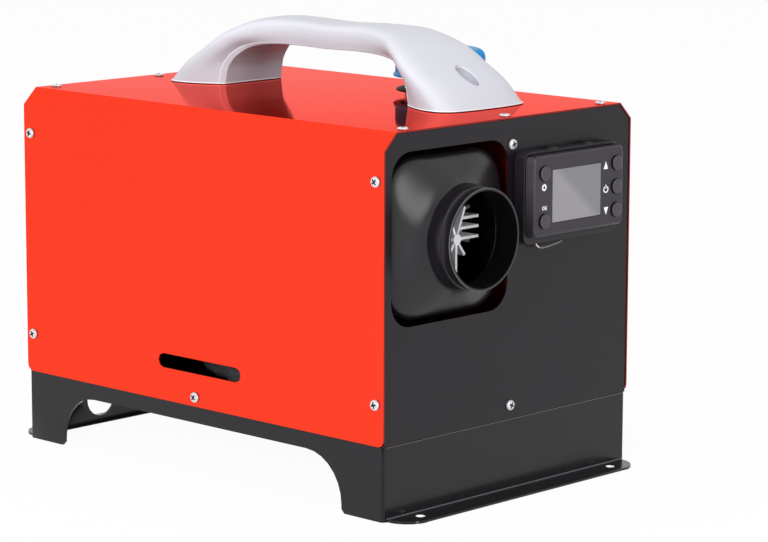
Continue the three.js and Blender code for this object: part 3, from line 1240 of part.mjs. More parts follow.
// ---------------------------------------------------------------- controller
function controllerCradle() {
  const back = PANEL_FACE - SEAT_GAP;
  const front = back - CRADLE_DEPTH;
  const outline = roundedRectangle(CRADLE_LEFT, CRADLE_BOTTOM, CRADLE_WIDTH, CRADLE_HEIGHT, CRADLE_CORNER);
  const pocket = roundedRectangle(BEZEL_LEFT - SEAT_GAP, BEZEL_BOTTOM - SEAT_GAP,
    BEZEL_WIDTH + 2 * SEAT_GAP, BEZEL_HEIGHT + 2 * SEAT_GAP, BEZEL_CORNER);
  const top = CRADLE_BOTTOM + CRADLE_HEIGHT;
  const tabs = CRADLE_TABS.map((share) => CRADLE_LEFT + CRADLE_WIDTH * share).map((x) => block(
    [x, x + CRADLE_TAB_WIDTH],
    [front + CRADLE_TAB_INSET, back - CRADLE_TAB_INSET],
    [top - OVERCUT, top + CRADLE_TAB_HEIGHT],
  ));
  return join([prism(outline, 'y', front, back), ...tabs])
    .subtract(prism(pocket, 'y', front - OVERCUT, back - CRADLE_BACK));
}

function bezelOutline(inset) {
  return roundedRectangle(BEZEL_LEFT + inset, BEZEL_BOTTOM + inset,
    BEZEL_WIDTH - 2 * inset, BEZEL_HEIGHT - 2 * inset, BEZEL_CORNER - inset / 2);
}

function outlineRing(shape, y) {
  return shape.getPoints().map((p) => new THREE.Vector3(p.x, y, p.y));
}

function controllerBezel() {
  const shell = loft([
    outlineRing(bezelOutline(BEZEL_BEVEL), BEZEL_FRONT),
    outlineRing(bezelOutline(0), BEZEL_FRONT + BEZEL_BEVEL),
    outlineRing(bezelOutline(0), BEZEL_BACK),
  ]);
  const window = block([SCREEN_LEFT - SEAT_GAP, SCREEN_LEFT + SCREEN_WIDTH + SEAT_GAP],
    [BEZEL_FRONT - OVERCUT, BEZEL_BACK],
    [SCREEN_BOTTOM - SEAT_GAP, SCREEN_BOTTOM + SCREEN_HEIGHT + SEAT_GAP]);
  const holes = BUTTONS.map(([, x, z]) => rod('y', [x, z], BUTTON_RADIUS + SEAT_GAP,
    BEZEL_FRONT - OVERCUT, BEZEL_BACK, 16));
  return cut(shell, [
    prism(bezelOutline(BEZEL_WALL), 'y', BEZEL_FRONT + BEZEL_FACE, BEZEL_BACK + OVERCUT),
    window, ...holes,
  ]);
}

function controllerHousing() {
  const front = BEZEL_BACK + SEAT_GAP;
  const back = PANEL_FACE - 2 * SEAT_GAP - CRADLE_BACK;
  const floor = back - BEZEL_FACE;
  const postStart = BOARD_FRONT + BOARD_THICKNESS + SEAT_GAP;
  const posts = [];
  for (const x of [BEZEL_LEFT + HOUSING_POST_INSET, BEZEL_LEFT + BEZEL_WIDTH - HOUSING_POST_INSET]) {
    for (const z of [BEZEL_BOTTOM + HOUSING_POST_INSET, BEZEL_BOTTOM + BEZEL_HEIGHT - HOUSING_POST_INSET]) {
      posts.push(rod('y', [x, z], BEZEL_FACE, postStart, floor + OVERCUT, 8));
    }
  }
  const tray = prism(bezelOutline(0), 'y', front, back)
    .subtract(prism(bezelOutline(BEZEL_FACE), 'y', front - OVERCUT, floor));
  return join([tray, ...posts]);
}

function controllerBoard() {
  const inset = BEZEL_WALL + SEAT_GAP;
  const lensBack = BEZEL_FRONT + SEAT_GAP + SCREEN_THICKNESS;
  const display = block(
    [SCREEN_LEFT, SCREEN_LEFT + SCREEN_WIDTH],
    [lensBack + SEAT_GAP, BOARD_FRONT + BOARD_THICKNESS / 2],
    [SCREEN_BOTTOM, SCREEN_BOTTOM + SCREEN_HEIGHT],
  );
  return join([prism(bezelOutline(inset), 'y', BOARD_FRONT, BOARD_FRONT + BOARD_THICKNESS), display]);
}

function screenLens() {
  const front = BEZEL_FRONT + SEAT_GAP;
  return block([SCREEN_LEFT, SCREEN_LEFT + SCREEN_WIDTH], [front, front + SCREEN_THICKNESS],
    [SCREEN_BOTTOM, SCREEN_BOTTOM + SCREEN_HEIGHT]);
}

// A button with a bevelled face and a hidden flange that the bezel holds.
function button(x, z) {
  const face = BEZEL_FRONT - BUTTON_PROUD;
  const flangeRadius = BUTTON_RADIUS + BUTTON_LIP;
  const profile = [
    [0, face], [BUTTON_RADIUS - BUTTON_BEVEL, face], [BUTTON_RADIUS, face + BUTTON_BEVEL],
    [BUTTON_RADIUS, BUTTON_SEAT],
    [flangeRadius, BUTTON_SEAT],
    [flangeRadius, BUTTON_SEAT + BUTTON_FLANGE],
    [0, BUTTON_SEAT + BUTTON_FLANGE],
  ];
  const lathe = new THREE.LatheGeometry(profile.map(([r, y]) => new THREE.Vector2(r, y)), 16);
  return toSolid(lathe.translate(x, 0, z));
}

function controllerLead() {
  return tube(curveThrough(LEAD_ROUTE), LEAD_RADIUS, 6, 56);
}

// ---------------------------------------------------------------- rear socket
function powerSocket() {
  const centre = [SOCKET_X, BASE_HEIGHT + SOCKET_RISE];
  const face = BODY_LENGTH - PANEL_RECESS + SEAT_GAP;
  const half = SOCKET_FLANGE / 2;
  const plate = prism(roundedRectangle(centre[0] - half, centre[1] - half, SOCKET_FLANGE, SOCKET_FLANGE, 4),
    'y', face, face + PANEL_SHEET * 2);
  const rim = face + SOCKET_PROUD;
  return join([plate, rod('y', centre, SOCKET_RADIUS, face - SOCKET_DEPTH, rim, 24)])
    .subtract(rod('y', centre, SOCKET_RADIUS - PIPE_PLAY, face - SOCKET_PROUD, rim + OVERCUT, 24));
}

// ---------------------------------------------------------------- assembly
addPiece('base_frame', baseFrame(), BASE_PAINT());
addPiece('cover', cover(), RED_PAINT());
addPiece('front_panel', frontPanel(), DARK_PAINT());
addPiece('rear_panel', rearPanel(), DARK_PAINT());
addPiece('divider_plate', dividerPlate(), RED_PAINT());
addPiece('heater_shelf', heaterShelf(), DARK_PAINT());
addPiece('outlet_hood', outletHood(), BLACK_PLASTIC());
addPiece('heater_casing_lower', casingLower(), BLACK_PLASTIC());
addPiece('heater_casing_upper', casingUpper(), BLACK_PLASTIC());
addPiece('inlet_guard', inletGuard(), BLACK_PLASTIC());
addPiece('heat_exchanger', heatExchanger(), CAST_METAL());
addPiece('burner', burner(), STEEL());
addPiece('glow_plug', glowPlug(), STEEL());
addPiece('blower_housing', blowerHousing(), CAST_METAL());
addPiece('blower_motor', blowerMotor(), STEEL());
addPiece('rotor_shaft', heaterRod(SHAFT_RADIUS, IMPELLER_FRONT - OVERCUT, FAN_END + OVERCUT, 12), STEEL());
addPiece('combustion_impeller', combustionImpeller(), CAST_METAL());
addPiece('fan_wheel', fanWheel(), BLACK_PLASTIC());
addPiece('control_unit', controlUnit(), BLACK_PLASTIC());
addPiece('exhaust_pipe', exhaustPipe(), STEEL());
addPiece('intake_pipe', intakePipe(), STEEL());
addPiece('fuel_tank', fuelTank(), WHITE_PLASTIC());
addPiece('fuel_cap', fuelCap(), BLUE_PLASTIC());
addPiece('cap_gasket', capGasket(), RUBBER());
addPiece('filler_ring', fillerRing(), RUBBER());
addPiece('fuel_pump', fuelPump(), STEEL());
addPiece('pump_clamp', pumpClamp(), RUBBER());
addPiece('tank_hose', tankHose(), RUBBER());
addPiece('heater_hose', heaterHose(), RUBBER());
addPiece('handle', handle(), GREY_PLASTIC());
addPiece('controller_cradle', controllerCradle(), BLACK_PLASTIC());
addPiece('controller_bezel', controllerBezel(), BLACK_PLASTIC());
addPiece('controller_housing', controllerHousing(), BLACK_PLASTIC());
addPiece('controller_board', controllerBoard(), COPPER_BOARD());
addPiece('screen_lens', screenLens(), SCREEN_GLASS());
for (const [name, x, z] of BUTTONS) addPiece(name, button(x, z), BLACK_PLASTIC());
addPiece('controller_lead', controllerLead(), RUBBER());
addPiece('power_socket', powerSocket(), BLACK_PLASTIC());
addScrews();

export default heater;
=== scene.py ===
import math

import bmesh
import bpy
from mathutils import Matrix, Vector


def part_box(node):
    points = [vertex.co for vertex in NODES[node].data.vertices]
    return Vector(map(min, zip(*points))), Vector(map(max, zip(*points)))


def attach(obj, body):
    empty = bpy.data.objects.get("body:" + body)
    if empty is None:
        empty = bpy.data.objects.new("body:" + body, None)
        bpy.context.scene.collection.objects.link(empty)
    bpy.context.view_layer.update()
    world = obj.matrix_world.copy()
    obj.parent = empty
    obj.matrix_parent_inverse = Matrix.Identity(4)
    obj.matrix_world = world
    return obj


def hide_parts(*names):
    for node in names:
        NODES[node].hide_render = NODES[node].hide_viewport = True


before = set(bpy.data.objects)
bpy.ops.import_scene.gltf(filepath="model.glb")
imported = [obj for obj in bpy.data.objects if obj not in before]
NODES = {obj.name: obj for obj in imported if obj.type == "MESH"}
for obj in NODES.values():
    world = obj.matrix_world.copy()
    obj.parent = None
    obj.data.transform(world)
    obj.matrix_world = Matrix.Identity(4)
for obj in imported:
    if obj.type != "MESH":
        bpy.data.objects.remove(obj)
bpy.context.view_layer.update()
ROW_Y = -0.189           # body y 0, the cover's front edge, in the row frame
BODY_MIDDLE = 0.006      # row Y halfway between the front and rear ends of the base


def linear(rgb):
    """A colour as seen on a screen, 0 to 255, as the linear values a shader takes."""
    def one(c):
        return ((c / 255 + 0.055) / 1.055) ** 2.4 if c > 10 else c / 255 / 12.92
    return tuple(one(c) for c in rgb) + (1.0,)


# ---------------------------------------------------------------- camera

CAMERA_PLACE = (-1.6831, -1.6710, 0.5583)
CAMERA_AIM = (0.7115, 0.6811, -0.1728)
CAMERA_ROLL = math.radians(-0.174)
CAMERA_LENS = 145.66


def make_camera():
    data = bpy.data.cameras.new("camera")
    data.lens = CAMERA_LENS
    data.sensor_width = 36.0
    data.clip_start = 0.05
    data.clip_end = 60.0
    camera = bpy.data.objects.new("camera", data)
    bpy.context.scene.collection.objects.link(camera)
    forward = Vector(CAMERA_AIM).normalized()
    right = forward.cross(Vector((0, 0, 1))).normalized()
    up = right.cross(forward)
    roll = Matrix.Rotation(CAMERA_ROLL, 3, forward)
    right = roll @ right
    up = roll @ up
    turn = Matrix((right, up, -forward)).transposed()
    camera.matrix_world = Matrix.Translation(CAMERA_PLACE) @ turn.to_4x4()
    bpy.context.scene.camera = camera


make_camera()


# ---------------------------------------------------------------- stage and light

WORLD_LIGHT = 0.55
BOUNCE_LIGHT = 0.06     # the studio as dull surfaces see it mirrored in shiny ones
WORLD_TONE = (0.96, 0.97, 1.0, 1)
FLOOR_GLOW = 0.96       # share of plain white in the floor that the camera sees
FLOOR_COLOUR = (244, 244, 246)
WHITE = (1, 1, 1, 1)
LIGHT_TARGET = (0, 0, 0.2)


def area_light(name, place, size, energy, mirrored):
    """A rectangular lamp that faces the heater and shows in glossy surfaces only if mirrored."""
    data = bpy.data.lights.new(name, "AREA")
    data.shape = "RECTANGLE"
    data.size = size[0]
    data.size_y = size[1]
    data.energy = energy
    lamp = bpy.data.objects.new(name, data)
    bpy.context.scene.collection.objects.link(lamp)
    lamp.location = place
    aim = Vector(LIGHT_TARGET) - Vector(place)
    lamp.rotation_euler = aim.to_track_quat("-Z", "Y").to_euler()
    lamp.visible_glossy = mirrored


def math_node(tree, operation, *values):
    """The result of a Math node whose inputs are numbers or other nodes' outputs."""
    node = tree.nodes.new("ShaderNodeMath")
    node.operation = operation
    for socket, value in zip(node.inputs, values):
        if isinstance(value, bpy.types.NodeSocket):
            tree.links.new(value, socket)
        else:
            socket.default_value = value
    return node.outputs[0]


def seen_rays(tree):
    """One for a ray that shows the studio straight, in a mirror or through glass.

    A ray that has left a dull surface gets zero, so the bright background lights nothing.
    """
    path = tree.nodes.new("ShaderNodeLightPath")
    total = path.outputs["Is Camera Ray"]
    for kind in ("Is Glossy Ray", "Is Transmission Ray"):
        total = math_node(tree, "MAXIMUM", total, path.outputs[kind])
    direct = math_node(tree, "LESS_THAN", path.outputs["Diffuse Depth"], 0.5)
    return math_node(tree, "MULTIPLY", total, direct)


def make_world():
    world = bpy.data.worlds.new("studio")
    bpy.context.scene.world = world
    world.use_nodes = True
    tree = world.node_tree
    tree.nodes.clear()
    out = tree.nodes.new("ShaderNodeOutputWorld")
    mix = tree.nodes.new("ShaderNodeMixShader")
    seen = tree.nodes.new("ShaderNodeBackground")
    lit = tree.nodes.new("ShaderNodeBackground")
    seen.inputs["Color"].default_value = WHITE
    seen.inputs["Strength"].default_value = 1.0
    lit.inputs["Color"].default_value = WORLD_TONE
    path = tree.nodes.new("ShaderNodeLightPath")
    level = math_node(tree, "MULTIPLY_ADD", path.outputs["Is Glossy Ray"],
                      BOUNCE_LIGHT - WORLD_LIGHT, WORLD_LIGHT)
    tree.links.new(level, lit.inputs["Strength"])
    tree.links.new(seen_rays(tree), mix.inputs["Fac"])
    tree.links.new(lit.outputs["Background"], mix.inputs[1])
    tree.links.new(seen.outputs["Background"], mix.inputs[2])
    tree.links.new(mix.outputs["Shader"], out.inputs["Surface"])


def make_floor():
    mesh = bpy.data.meshes.new("floor")
    bm = bmesh.new()
    bmesh.ops.create_grid(bm, x_segments=24, y_segments=24, size=6.0)
    bm.to_mesh(mesh)
    bm.free()
    floor = bpy.data.objects.new("floor", mesh)
    bpy.context.scene.collection.objects.link(floor)
    material = bpy.data.materials.new("studio_floor")
    material.use_nodes = True
    tree = material.node_tree
    tree.nodes.clear()
    out = tree.nodes.new("ShaderNodeOutputMaterial")
    base = tree.nodes.new("ShaderNodeBsdfDiffuse")
    base.inputs["Color"].default_value = linear(FLOOR_COLOUR)
    glow = tree.nodes.new("ShaderNodeEmission")
    glow.inputs["Color"].default_value = WHITE
    glow.inputs["Strength"].default_value = 1.0
    mix = tree.nodes.new("ShaderNodeMixShader")
    share = math_node(tree, "MULTIPLY", seen_rays(tree), FLOOR_GLOW)
    tree.links.new(share, mix.inputs["Fac"])
    tree.links.new(base.outputs[0], mix.inputs[1])
    tree.links.new(glow.outputs[0], mix.inputs[2])
    tree.links.new(mix.outputs[0], out.inputs["Surface"])
    mesh.materials.append(material)


bpy.context.scene.view_settings.view_transform = "Standard"
make_world()
make_floor()
area_light("key", place=(-2.5, -0.6, 1.15), size=(1.5, 1.3), energy=66, mirrored=False)
area_light("front", place=(-0.05, -2.5, 0.76), size=(1.1, 1.42), energy=23, mirrored=True)
area_light("over", place=(0.1, 0.3, 2.6), size=(1.8, 1.8), energy=9, mirrored=False)


# ---------------------------------------------------------------- materials

def noise(tree, scale, detail, roughness):
    node = tree.nodes.new("ShaderNodeTexNoise")
    node.inputs["Scale"].default_value = scale
    node.inputs["Detail"].default_value = detail
    node.inputs["Roughness"].default_value = roughness
    return node


def two_stops(tree, value, low, high):
    """A colour ramp over a value, between two pairs of a position and a linear colour."""
    ramp = tree.nodes.new("ShaderNodeValToRGB")
    for element, (position, colour) in zip(ramp.color_ramp.elements, (low, high)):
        element.position = position
        element.color = colour
    tree.links.new(value, ramp.inputs["Fac"])
    return ramp.outputs["Color"]


MOTTLE_LOW, MOTTLE_HIGH = 0.3, 0.7        # where the slow noise reaches its darkest and lightest
SPECK_LOW, SPECK_HIGH = 0.25, 0.75        # the same for the fine grain
# Sockets of a Mix node for colours.
MIX_FACTOR, MIX_FIRST, MIX_SECOND, MIX_RESULT = 0, 6, 7, 2
SKIN_DEPTH = (0.004, 0.004, 0.004)        # how far light spreads inside the tank's wall, metres


def surface(name, colour, roughness, metallic=0.0, mottle=0.05, mottle_scale=14.0, grain=0.06,
            grain_scale=900.0, grain_depth=0.00006, specular=0.5, rough_swing=0.05, stretch=None,
            tint=None, subsurface=0.0):
    """A painted, moulded or bare surface: slow colour drift, fine grain in colour and height."""
    material = bpy.data.materials.new(name)
    material.use_nodes = True
    tree = material.node_tree
    nodes = tree.nodes
    links = tree.links
    shader = nodes["Principled BSDF"]
    shader.inputs["Metallic"].default_value = metallic
    shader.inputs["Specular IOR Level"].default_value = specular
    if tint:
        shader.inputs["Specular Tint"].default_value = linear(tint)
    if subsurface:
        shader.inputs["Subsurface Weight"].default_value = subsurface
        shader.inputs["Subsurface Radius"].default_value = SKIN_DEPTH
    source = nodes.new("ShaderNodeTexCoord").outputs["Object"]
    slow = noise(tree, mottle_scale, 4.0, 0.55)
    fine = noise(tree, grain_scale, 3.0, 0.6)
    links.new(source, slow.inputs["Vector"])
    if stretch:
        mapping = nodes.new("ShaderNodeMapping")
        mapping.inputs["Scale"].default_value = stretch
        links.new(source, mapping.inputs["Vector"])
        source = mapping.outputs["Vector"]
    links.new(source, fine.inputs["Vector"])
    dark = tuple(max(c * (1 - mottle), 0) for c in colour)
    light = tuple(min(c * (1 + mottle), 255) for c in colour)
    drift = two_stops(tree, slow.outputs["Fac"], (MOTTLE_LOW, linear(dark)),
                      (MOTTLE_HIGH, linear(light)))
    speck = two_stops(tree, fine.outputs["Fac"], (SPECK_LOW, (1 - grain, 1 - grain, 1 - grain, 1)),
                      (SPECK_HIGH, WHITE))
    shade = nodes.new("ShaderNodeMix")
    shade.data_type = "RGBA"
    shade.blend_type = "MULTIPLY"
    shade.inputs[MIX_FACTOR].default_value = 1.0
    links.new(drift, shade.inputs[MIX_FIRST])
    links.new(speck, shade.inputs[MIX_SECOND])
    links.new(shade.outputs[MIX_RESULT], shader.inputs["Base Color"])
    gloss = nodes.new("ShaderNodeMapRange")
    gloss.inputs["From Min"].default_value = MOTTLE_LOW
    gloss.inputs["From Max"].default_value = MOTTLE_HIGH
    gloss.inputs["To Min"].default_value = max(roughness - rough_swing, 0.03)
    gloss.inputs["To Max"].default_value = min(roughness + rough_swing, 1.0)
    links.new(slow.outputs["Fac"], gloss.inputs["Value"])
    links.new(gloss.outputs["Result"], shader.inputs["Roughness"])
    bump = nodes.new("ShaderNodeBump")
    bump.inputs["Strength"].default_value = 1.0
    bump.inputs["Distance"].default_value = grain_depth
    links.new(fine.outputs["Fac"], bump.inputs["Height"])
    links.new(bump.outputs["Normal"], shader.inputs["Normal"])
    return material


SCREEN_X, SCREEN_Z = 0.0518, 0.2199       # a place on the painted reflection's diagonal, metres
ACROSS, UPWARD = 14.0, 16.0               # how fast the ramp's value grows per metre


def screen_with_painted_reflection():
    """Display glass: a grey field, lighter below a soft diagonal as a painted reflection, under a
    clear smooth front.
    """
    material = surface("display_painted_reflection", (136, 133, 137), 0.16, grain=0.015, grain_scale=1800,
                       grain_depth=0.000004, mottle=0.01, rough_swing=0.02, specular=0.3)
    tree = material.node_tree
    shade = tree.nodes["Principled BSDF"].inputs["Base Color"].links[0].from_node
    coords = next(n for n in tree.nodes if n.type == "TEX_COORD")
    split = tree.nodes.new("ShaderNodeSeparateXYZ")
    tree.links.new(coords.outputs["Object"], split.inputs[0])
    start = 0.5 - ACROSS * SCREEN_X - UPWARD * SCREEN_Z
    across = math_node(tree, "MULTIPLY_ADD", split.outputs["X"], ACROSS, start)
    total = math_node(tree, "MULTIPLY_ADD", split.outputs["Z"], UPWARD, across)
    ramp = two_stops(tree, total, (0.44, linear((141, 138, 141))), (0.58, linear((122, 121, 123))))
    tree.links.new(ramp, shade.inputs[MIX_FIRST])
    return material


LOOKS = {
    "red_paint": surface("red_paint", (254, 65, 42), 0.06, metallic=0.95, grain=0.02, mottle=0.01,
                         mottle_scale=5, grain_scale=420, grain_depth=0.000003, rough_swing=0.01,
                         tint=(255, 190, 180), specular=0.1),
    "panel_paint": surface("panel_paint", (20, 15, 20), 0.3, grain=0.14, grain_scale=1400,
                           grain_depth=0.00002, mottle=0.04, specular=0.3),
    "base_paint": surface("base_paint", (15, 11, 16), 0.2, grain=0.12, grain_scale=1400,
                          grain_depth=0.000012, mottle=0.05, specular=0.35),
    "black_plastic": surface("black_moulding", (21, 18, 22), 0.3, grain=0.08, grain_scale=1200,
                             grain_depth=0.00001, mottle=0.04, specular=0.42),
    "grey_plastic": surface("grey_moulding", (203, 203, 210), 0.42, grain=0.03, grain_scale=1500,
                            grain_depth=0.00003, mottle=0.008, mottle_scale=9, specular=0.35),
    "blue_plastic": surface("blue_moulding", (0, 138, 204), 0.4, grain=0.08, grain_scale=1100,
                            mottle=0.06, grain_depth=0.00003, specular=0.22),
    "tank_plastic": surface("tank_moulding", (224, 224, 216), 0.42, grain=0.04, mottle=0.03,
                            subsurface=0.15),
    "rubber": surface("rubber_black", (30, 29, 30), 0.62, grain=0.2, grain_scale=1900, mottle=0.08,
                      grain_depth=0.00008, specular=0.3),
    "steel": surface("steel_bare", (186, 187, 192), 0.4, metallic=0.8, grain=0.16, grain_scale=300,
                     grain_depth=0.00003, mottle=0.06, stretch=(1, 1, 0.08)),
    "screw_steel": surface("screw_zinc", (214, 216, 218), 0.3, metallic=0.6, grain=0.08,
                           grain_scale=900, grain_depth=0.00001, mottle=0.03),
    "cast_aluminium": surface("aluminium_cast", (236, 234, 236), 0.46, metallic=0.15, grain=0.12,
                              grain_scale=1100, grain_depth=0.00008, mottle=0.05),
    "circuit_board": surface("board_green", (28, 88, 50), 0.42, grain=0.16, mottle=0.1),
    "screen": screen_with_painted_reflection(),
}
PRINT = surface("print_white", (236, 236, 236), 0.5, grain=0.03, grain_scale=2500, mottle=0.01,
                grain_depth=0.00001)
WIRE_PALE = surface("wire_pale", (236, 205, 203), 0.32, grain=0.04, mottle=0.05)
WIRE_GREY = surface("wire_grey", (112, 108, 111), 0.4, grain=0.06, mottle=0.05)
# A near white for the bead round each handle foot: a painted highlight.
FOOT_BEAD_HIGHLIGHT = surface("foot_bead", (244, 238, 240), 0.3, grain=0.03, mottle=0.01,
                    grain_depth=0.00001)
# The divider plate's red paint, darkened as painted shade.
SHADED_INNER_RED = surface("red_inner_painted_shade", (84, 14, 12), 0.45, grain=0.12, mottle=0.08, specular=0.25)
# A copy of the red paint for the cover's top, with a redder reflection tint: a painted reflection.
TOP_RED_REFLECTION = surface("red_top_painted_reflection", (254, 65, 42), 0.06, metallic=0.95, grain=0.02, mottle=0.01,
                  mottle_scale=5, grain_scale=420, grain_depth=0.000003, rough_swing=0.01,
                  tint=(255, 80, 44), specular=0.1)
# A darker red on the cover's end and lower edge faces: painted shade.
EDGE_SHADE_RED = surface("red_edge_painted_shade", (126, 24, 18), 0.5, grain=0.15, mottle=0.12, specular=0.25)
# A near black for the hood's inside and the keys' side walls: painted shade.
SHADE_BLACK = surface("black_painted_shade", (5, 4, 5), 0.6, grain=0.1, mottle=0.06, specular=0.08)
# A lighter grey on the front of the collar's rim: a painted highlight.
RIM_HIGHLIGHT_GREY = surface("rim_painted_highlight", (96, 92, 97), 0.3, grain=0.06, mottle=0.04,
                   grain_depth=0.00001)
# A lighter grey for the lines along the base's bends and upper rim: painted highlights.
FOLD_HIGHLIGHT_GREY = surface("fold_painted_highlight", (92, 88, 93), 0.3, grain=0.06, mottle=0.04, grain_depth=0.00001)
# A lighter grey for the handle's crease lines: painted highlights.
CREASE_HIGHLIGHT_GREY = surface("crease_painted_highlight", (232, 230, 236), 0.4, grain=0.03, mottle=0.01,
                      grain_depth=0.00001)
PIPE_GREY = surface("pipe_grey", (112, 112, 118), 0.3, metallic=0.2, grain=0.08, mottle=0.05)
# A near white for the walls of the flange holes: painted light.
HOLE_WALL_LIGHT = surface("hole_wall_painted_light", (238, 238, 240), 0.35, metallic=0.2, grain=0.08,
                     mottle=0.05)
# A dark grey for the screws' cross recesses: painted shade.
SCREW_CROSS_SHADE = surface("screw_cross_painted_shade", (34, 36, 40), 0.5, grain=0.1, mottle=0.06, specular=0.2)
# A lighter grey for the bezel's side walls: painted light.
BEZEL_SIDE_LIGHT = surface("bezel_side_painted_light", (66, 62, 67), 0.4, grain=0.08, mottle=0.03, specular=0.3)
# A darker grey for the handle's oval recesses: painted shade.
OVAL_SHADE_GREY = surface("oval_recess_painted_shade", (176, 176, 186), 0.5, grain=0.05, grain_scale=1500,
                      mottle=0.02)
BEZEL = surface("bezel_moulding", (50, 46, 51), 0.34, grain=0.08, grain_scale=1400, mottle=0.03,
                grain_depth=0.00001, specular=0.3)
CRADLE = surface("cradle_moulding", (32, 29, 33), 0.36, grain=0.08, grain_scale=1400, mottle=0.03,
                 grain_depth=0.00001, specular=0.3)
KEY = surface("key_moulding", (62, 58, 62), 0.42, grain=0.08, grain_scale=1400, grain_depth=0.00002,
              mottle=0.03, specular=0.4)


# ---------------------------------------------------------------- mesh tools

MM = 0.001
DEPS = bpy.context.evaluated_depsgraph_get


def row(x, body_y, z):
    """A place in millimetres, Y from the cover's front edge, as metres in the row frame."""
    return Vector((x * MM, body_y * MM + ROW_Y, z * MM))


SMOOTH = 38.0     # degrees; edges that turn less are shaded smooth


def add_object(name, bm, look, smooth=SMOOTH, extra=()):
    """Makes a piece of the mesh, with its look in the first material slot and extra ones after."""
    mesh = bpy.data.meshes.new(name)
    bmesh.ops.recalc_face_normals(bm, faces=bm.faces)
    bm.to_mesh(mesh)
    bm.free()
    mesh.shade_smooth()
    mesh.set_sharp_from_angle(angle=math.radians(smooth))
    mesh.materials.append(look if isinstance(look, bpy.types.Material) else LOOKS[look])
    for material in extra:
        mesh.materials.append(material)
    piece = bpy.data.objects.new(name, mesh)
    bpy.context.scene.collection.objects.link(piece)
    return piece


def even_normals(piece):
    """Flat faces keep their own normal beside narrow rounded edges."""
    weighted = piece.modifiers.new("even normals", "WEIGHTED_NORMAL")
    weighted.keep_sharp = True
    weighted.weight = 80


def place(piece, body, slot, *nodes):
    """Sets the body that a piece rides on, and hides the nodes that it stands for. The slot is not
    used.
    """
    if nodes:
        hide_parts(*nodes)
    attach(piece, body)


def bridge(bm, rings, closed=True):
    """Quads between rings of equal length; a closed run joins the last ring to the first.

    A run that isn't closed gets a face over its first and its last ring.
    """
    made = [[bm.verts.new(p) for p in ring] for ring in rings]
    count = len(made[0])
    last = len(made) if closed else len(made) - 1
    for i in range(last):
        a = made[i]
        b = made[(i + 1) % len(made)]
        for k in range(count):
            bm.faces.new((a[k], a[(k + 1) % count], b[(k + 1) % count], b[k]))
    if not closed:
        bm.faces.new(list(reversed(made[0])))
        bm.faces.new(made[-1])


def revolve(bm, profile, segments, matrix, radius_at=None):
    """Turns (radius, height) pairs about Z; the first and last pair lie on the axis."""
    def ring(pair):
        points = []
        for k in range(segments):
            angle = 2 * math.pi * k / segments
            reach = radius_at(pair, angle) if radius_at else pair[0]
            spot = Vector((reach * math.cos(angle), reach * math.sin(angle), pair[1]))
            points.append(matrix @ spot)
        return [bm.verts.new(p) for p in points]

    rings = [ring(pair) for pair in profile[1:-1]]
    for a, b in zip(rings, rings[1:]):
        for k in range(segments):
            bm.faces.new((a[k], a[(k + 1) % segments], b[(k + 1) % segments], b[k]))
    for pair, ends in ((profile[0], rings[0]), (profile[-1], rings[-1])):
        pole = bm.verts.new(matrix @ Vector((0, 0, pair[1])))
        for k in range(segments):
            bm.faces.new((pole, ends[k], ends[(k + 1) % segments]))


def smooth_run(points, steps):
    """Points on a Catmull-Rom curve through the given tuples, with the given steps a segment."""
    out = []
    count = len(points)
    for i in range(count - 1):
        p1 = points[i]
        p2 = points[i + 1]
        p0 = points[i - 1] if i > 0 else tuple(2 * a - b for a, b in zip(p1, p2))
        p3 = points[i + 2] if i + 2 < count else tuple(2 * b - a for a, b in zip(p1, p2))
        for s in range(steps):
            t = s / steps
            out.append(tuple(
                0.5 * (2 * b + (c - a) * t + (2 * a - 5 * b + 4 * c - d) * t * t
                       + (3 * b - a - 3 * c + d) * t ** 3)
                for a, b, c, d in zip(p0, p1, p2, p3)))
    out.append(tuple(points[-1]))
    return out


def apply_modifiers(piece):
    """Keeps the shape that the modifiers give and drops the modifiers."""
    bpy.context.view_layer.update()
    mesh = bpy.data.meshes.new_from_object(piece.evaluated_get(DEPS()))
    old = piece.data
    piece.modifiers.clear()
    piece.data = mesh
    bpy.data.meshes.remove(old)


def cut_out(piece, cutters):
    """Takes each cutter's shape out of the piece and deletes the cutter."""
    for cutter in cutters:
        boolean = piece.modifiers.new("cut", "BOOLEAN")
        boolean.operation = "DIFFERENCE"
        boolean.solver = "EXACT"
        boolean.object = cutter
    apply_modifiers(piece)
    for cutter in cutters:
        mesh = cutter.data
        bpy.data.objects.remove(cutter)
        bpy.data.meshes.remove(mesh)


# ---------------------------------------------------------------- sheet and moulded nodes

WELD = 2e-6                          # metres; corners that lie nearer are joined
FLAT_ANGLE = math.radians(0.8)       # faces that turn less are joined to one
FOLD_ANGLE = math.radians(24)        # edges that turn more may be folds
SHARP_ANGLE = math.radians(40)       # edges that turn more are rounded
SHORTEST = 2.2                       # times the rounding; shorter edges stay sharp


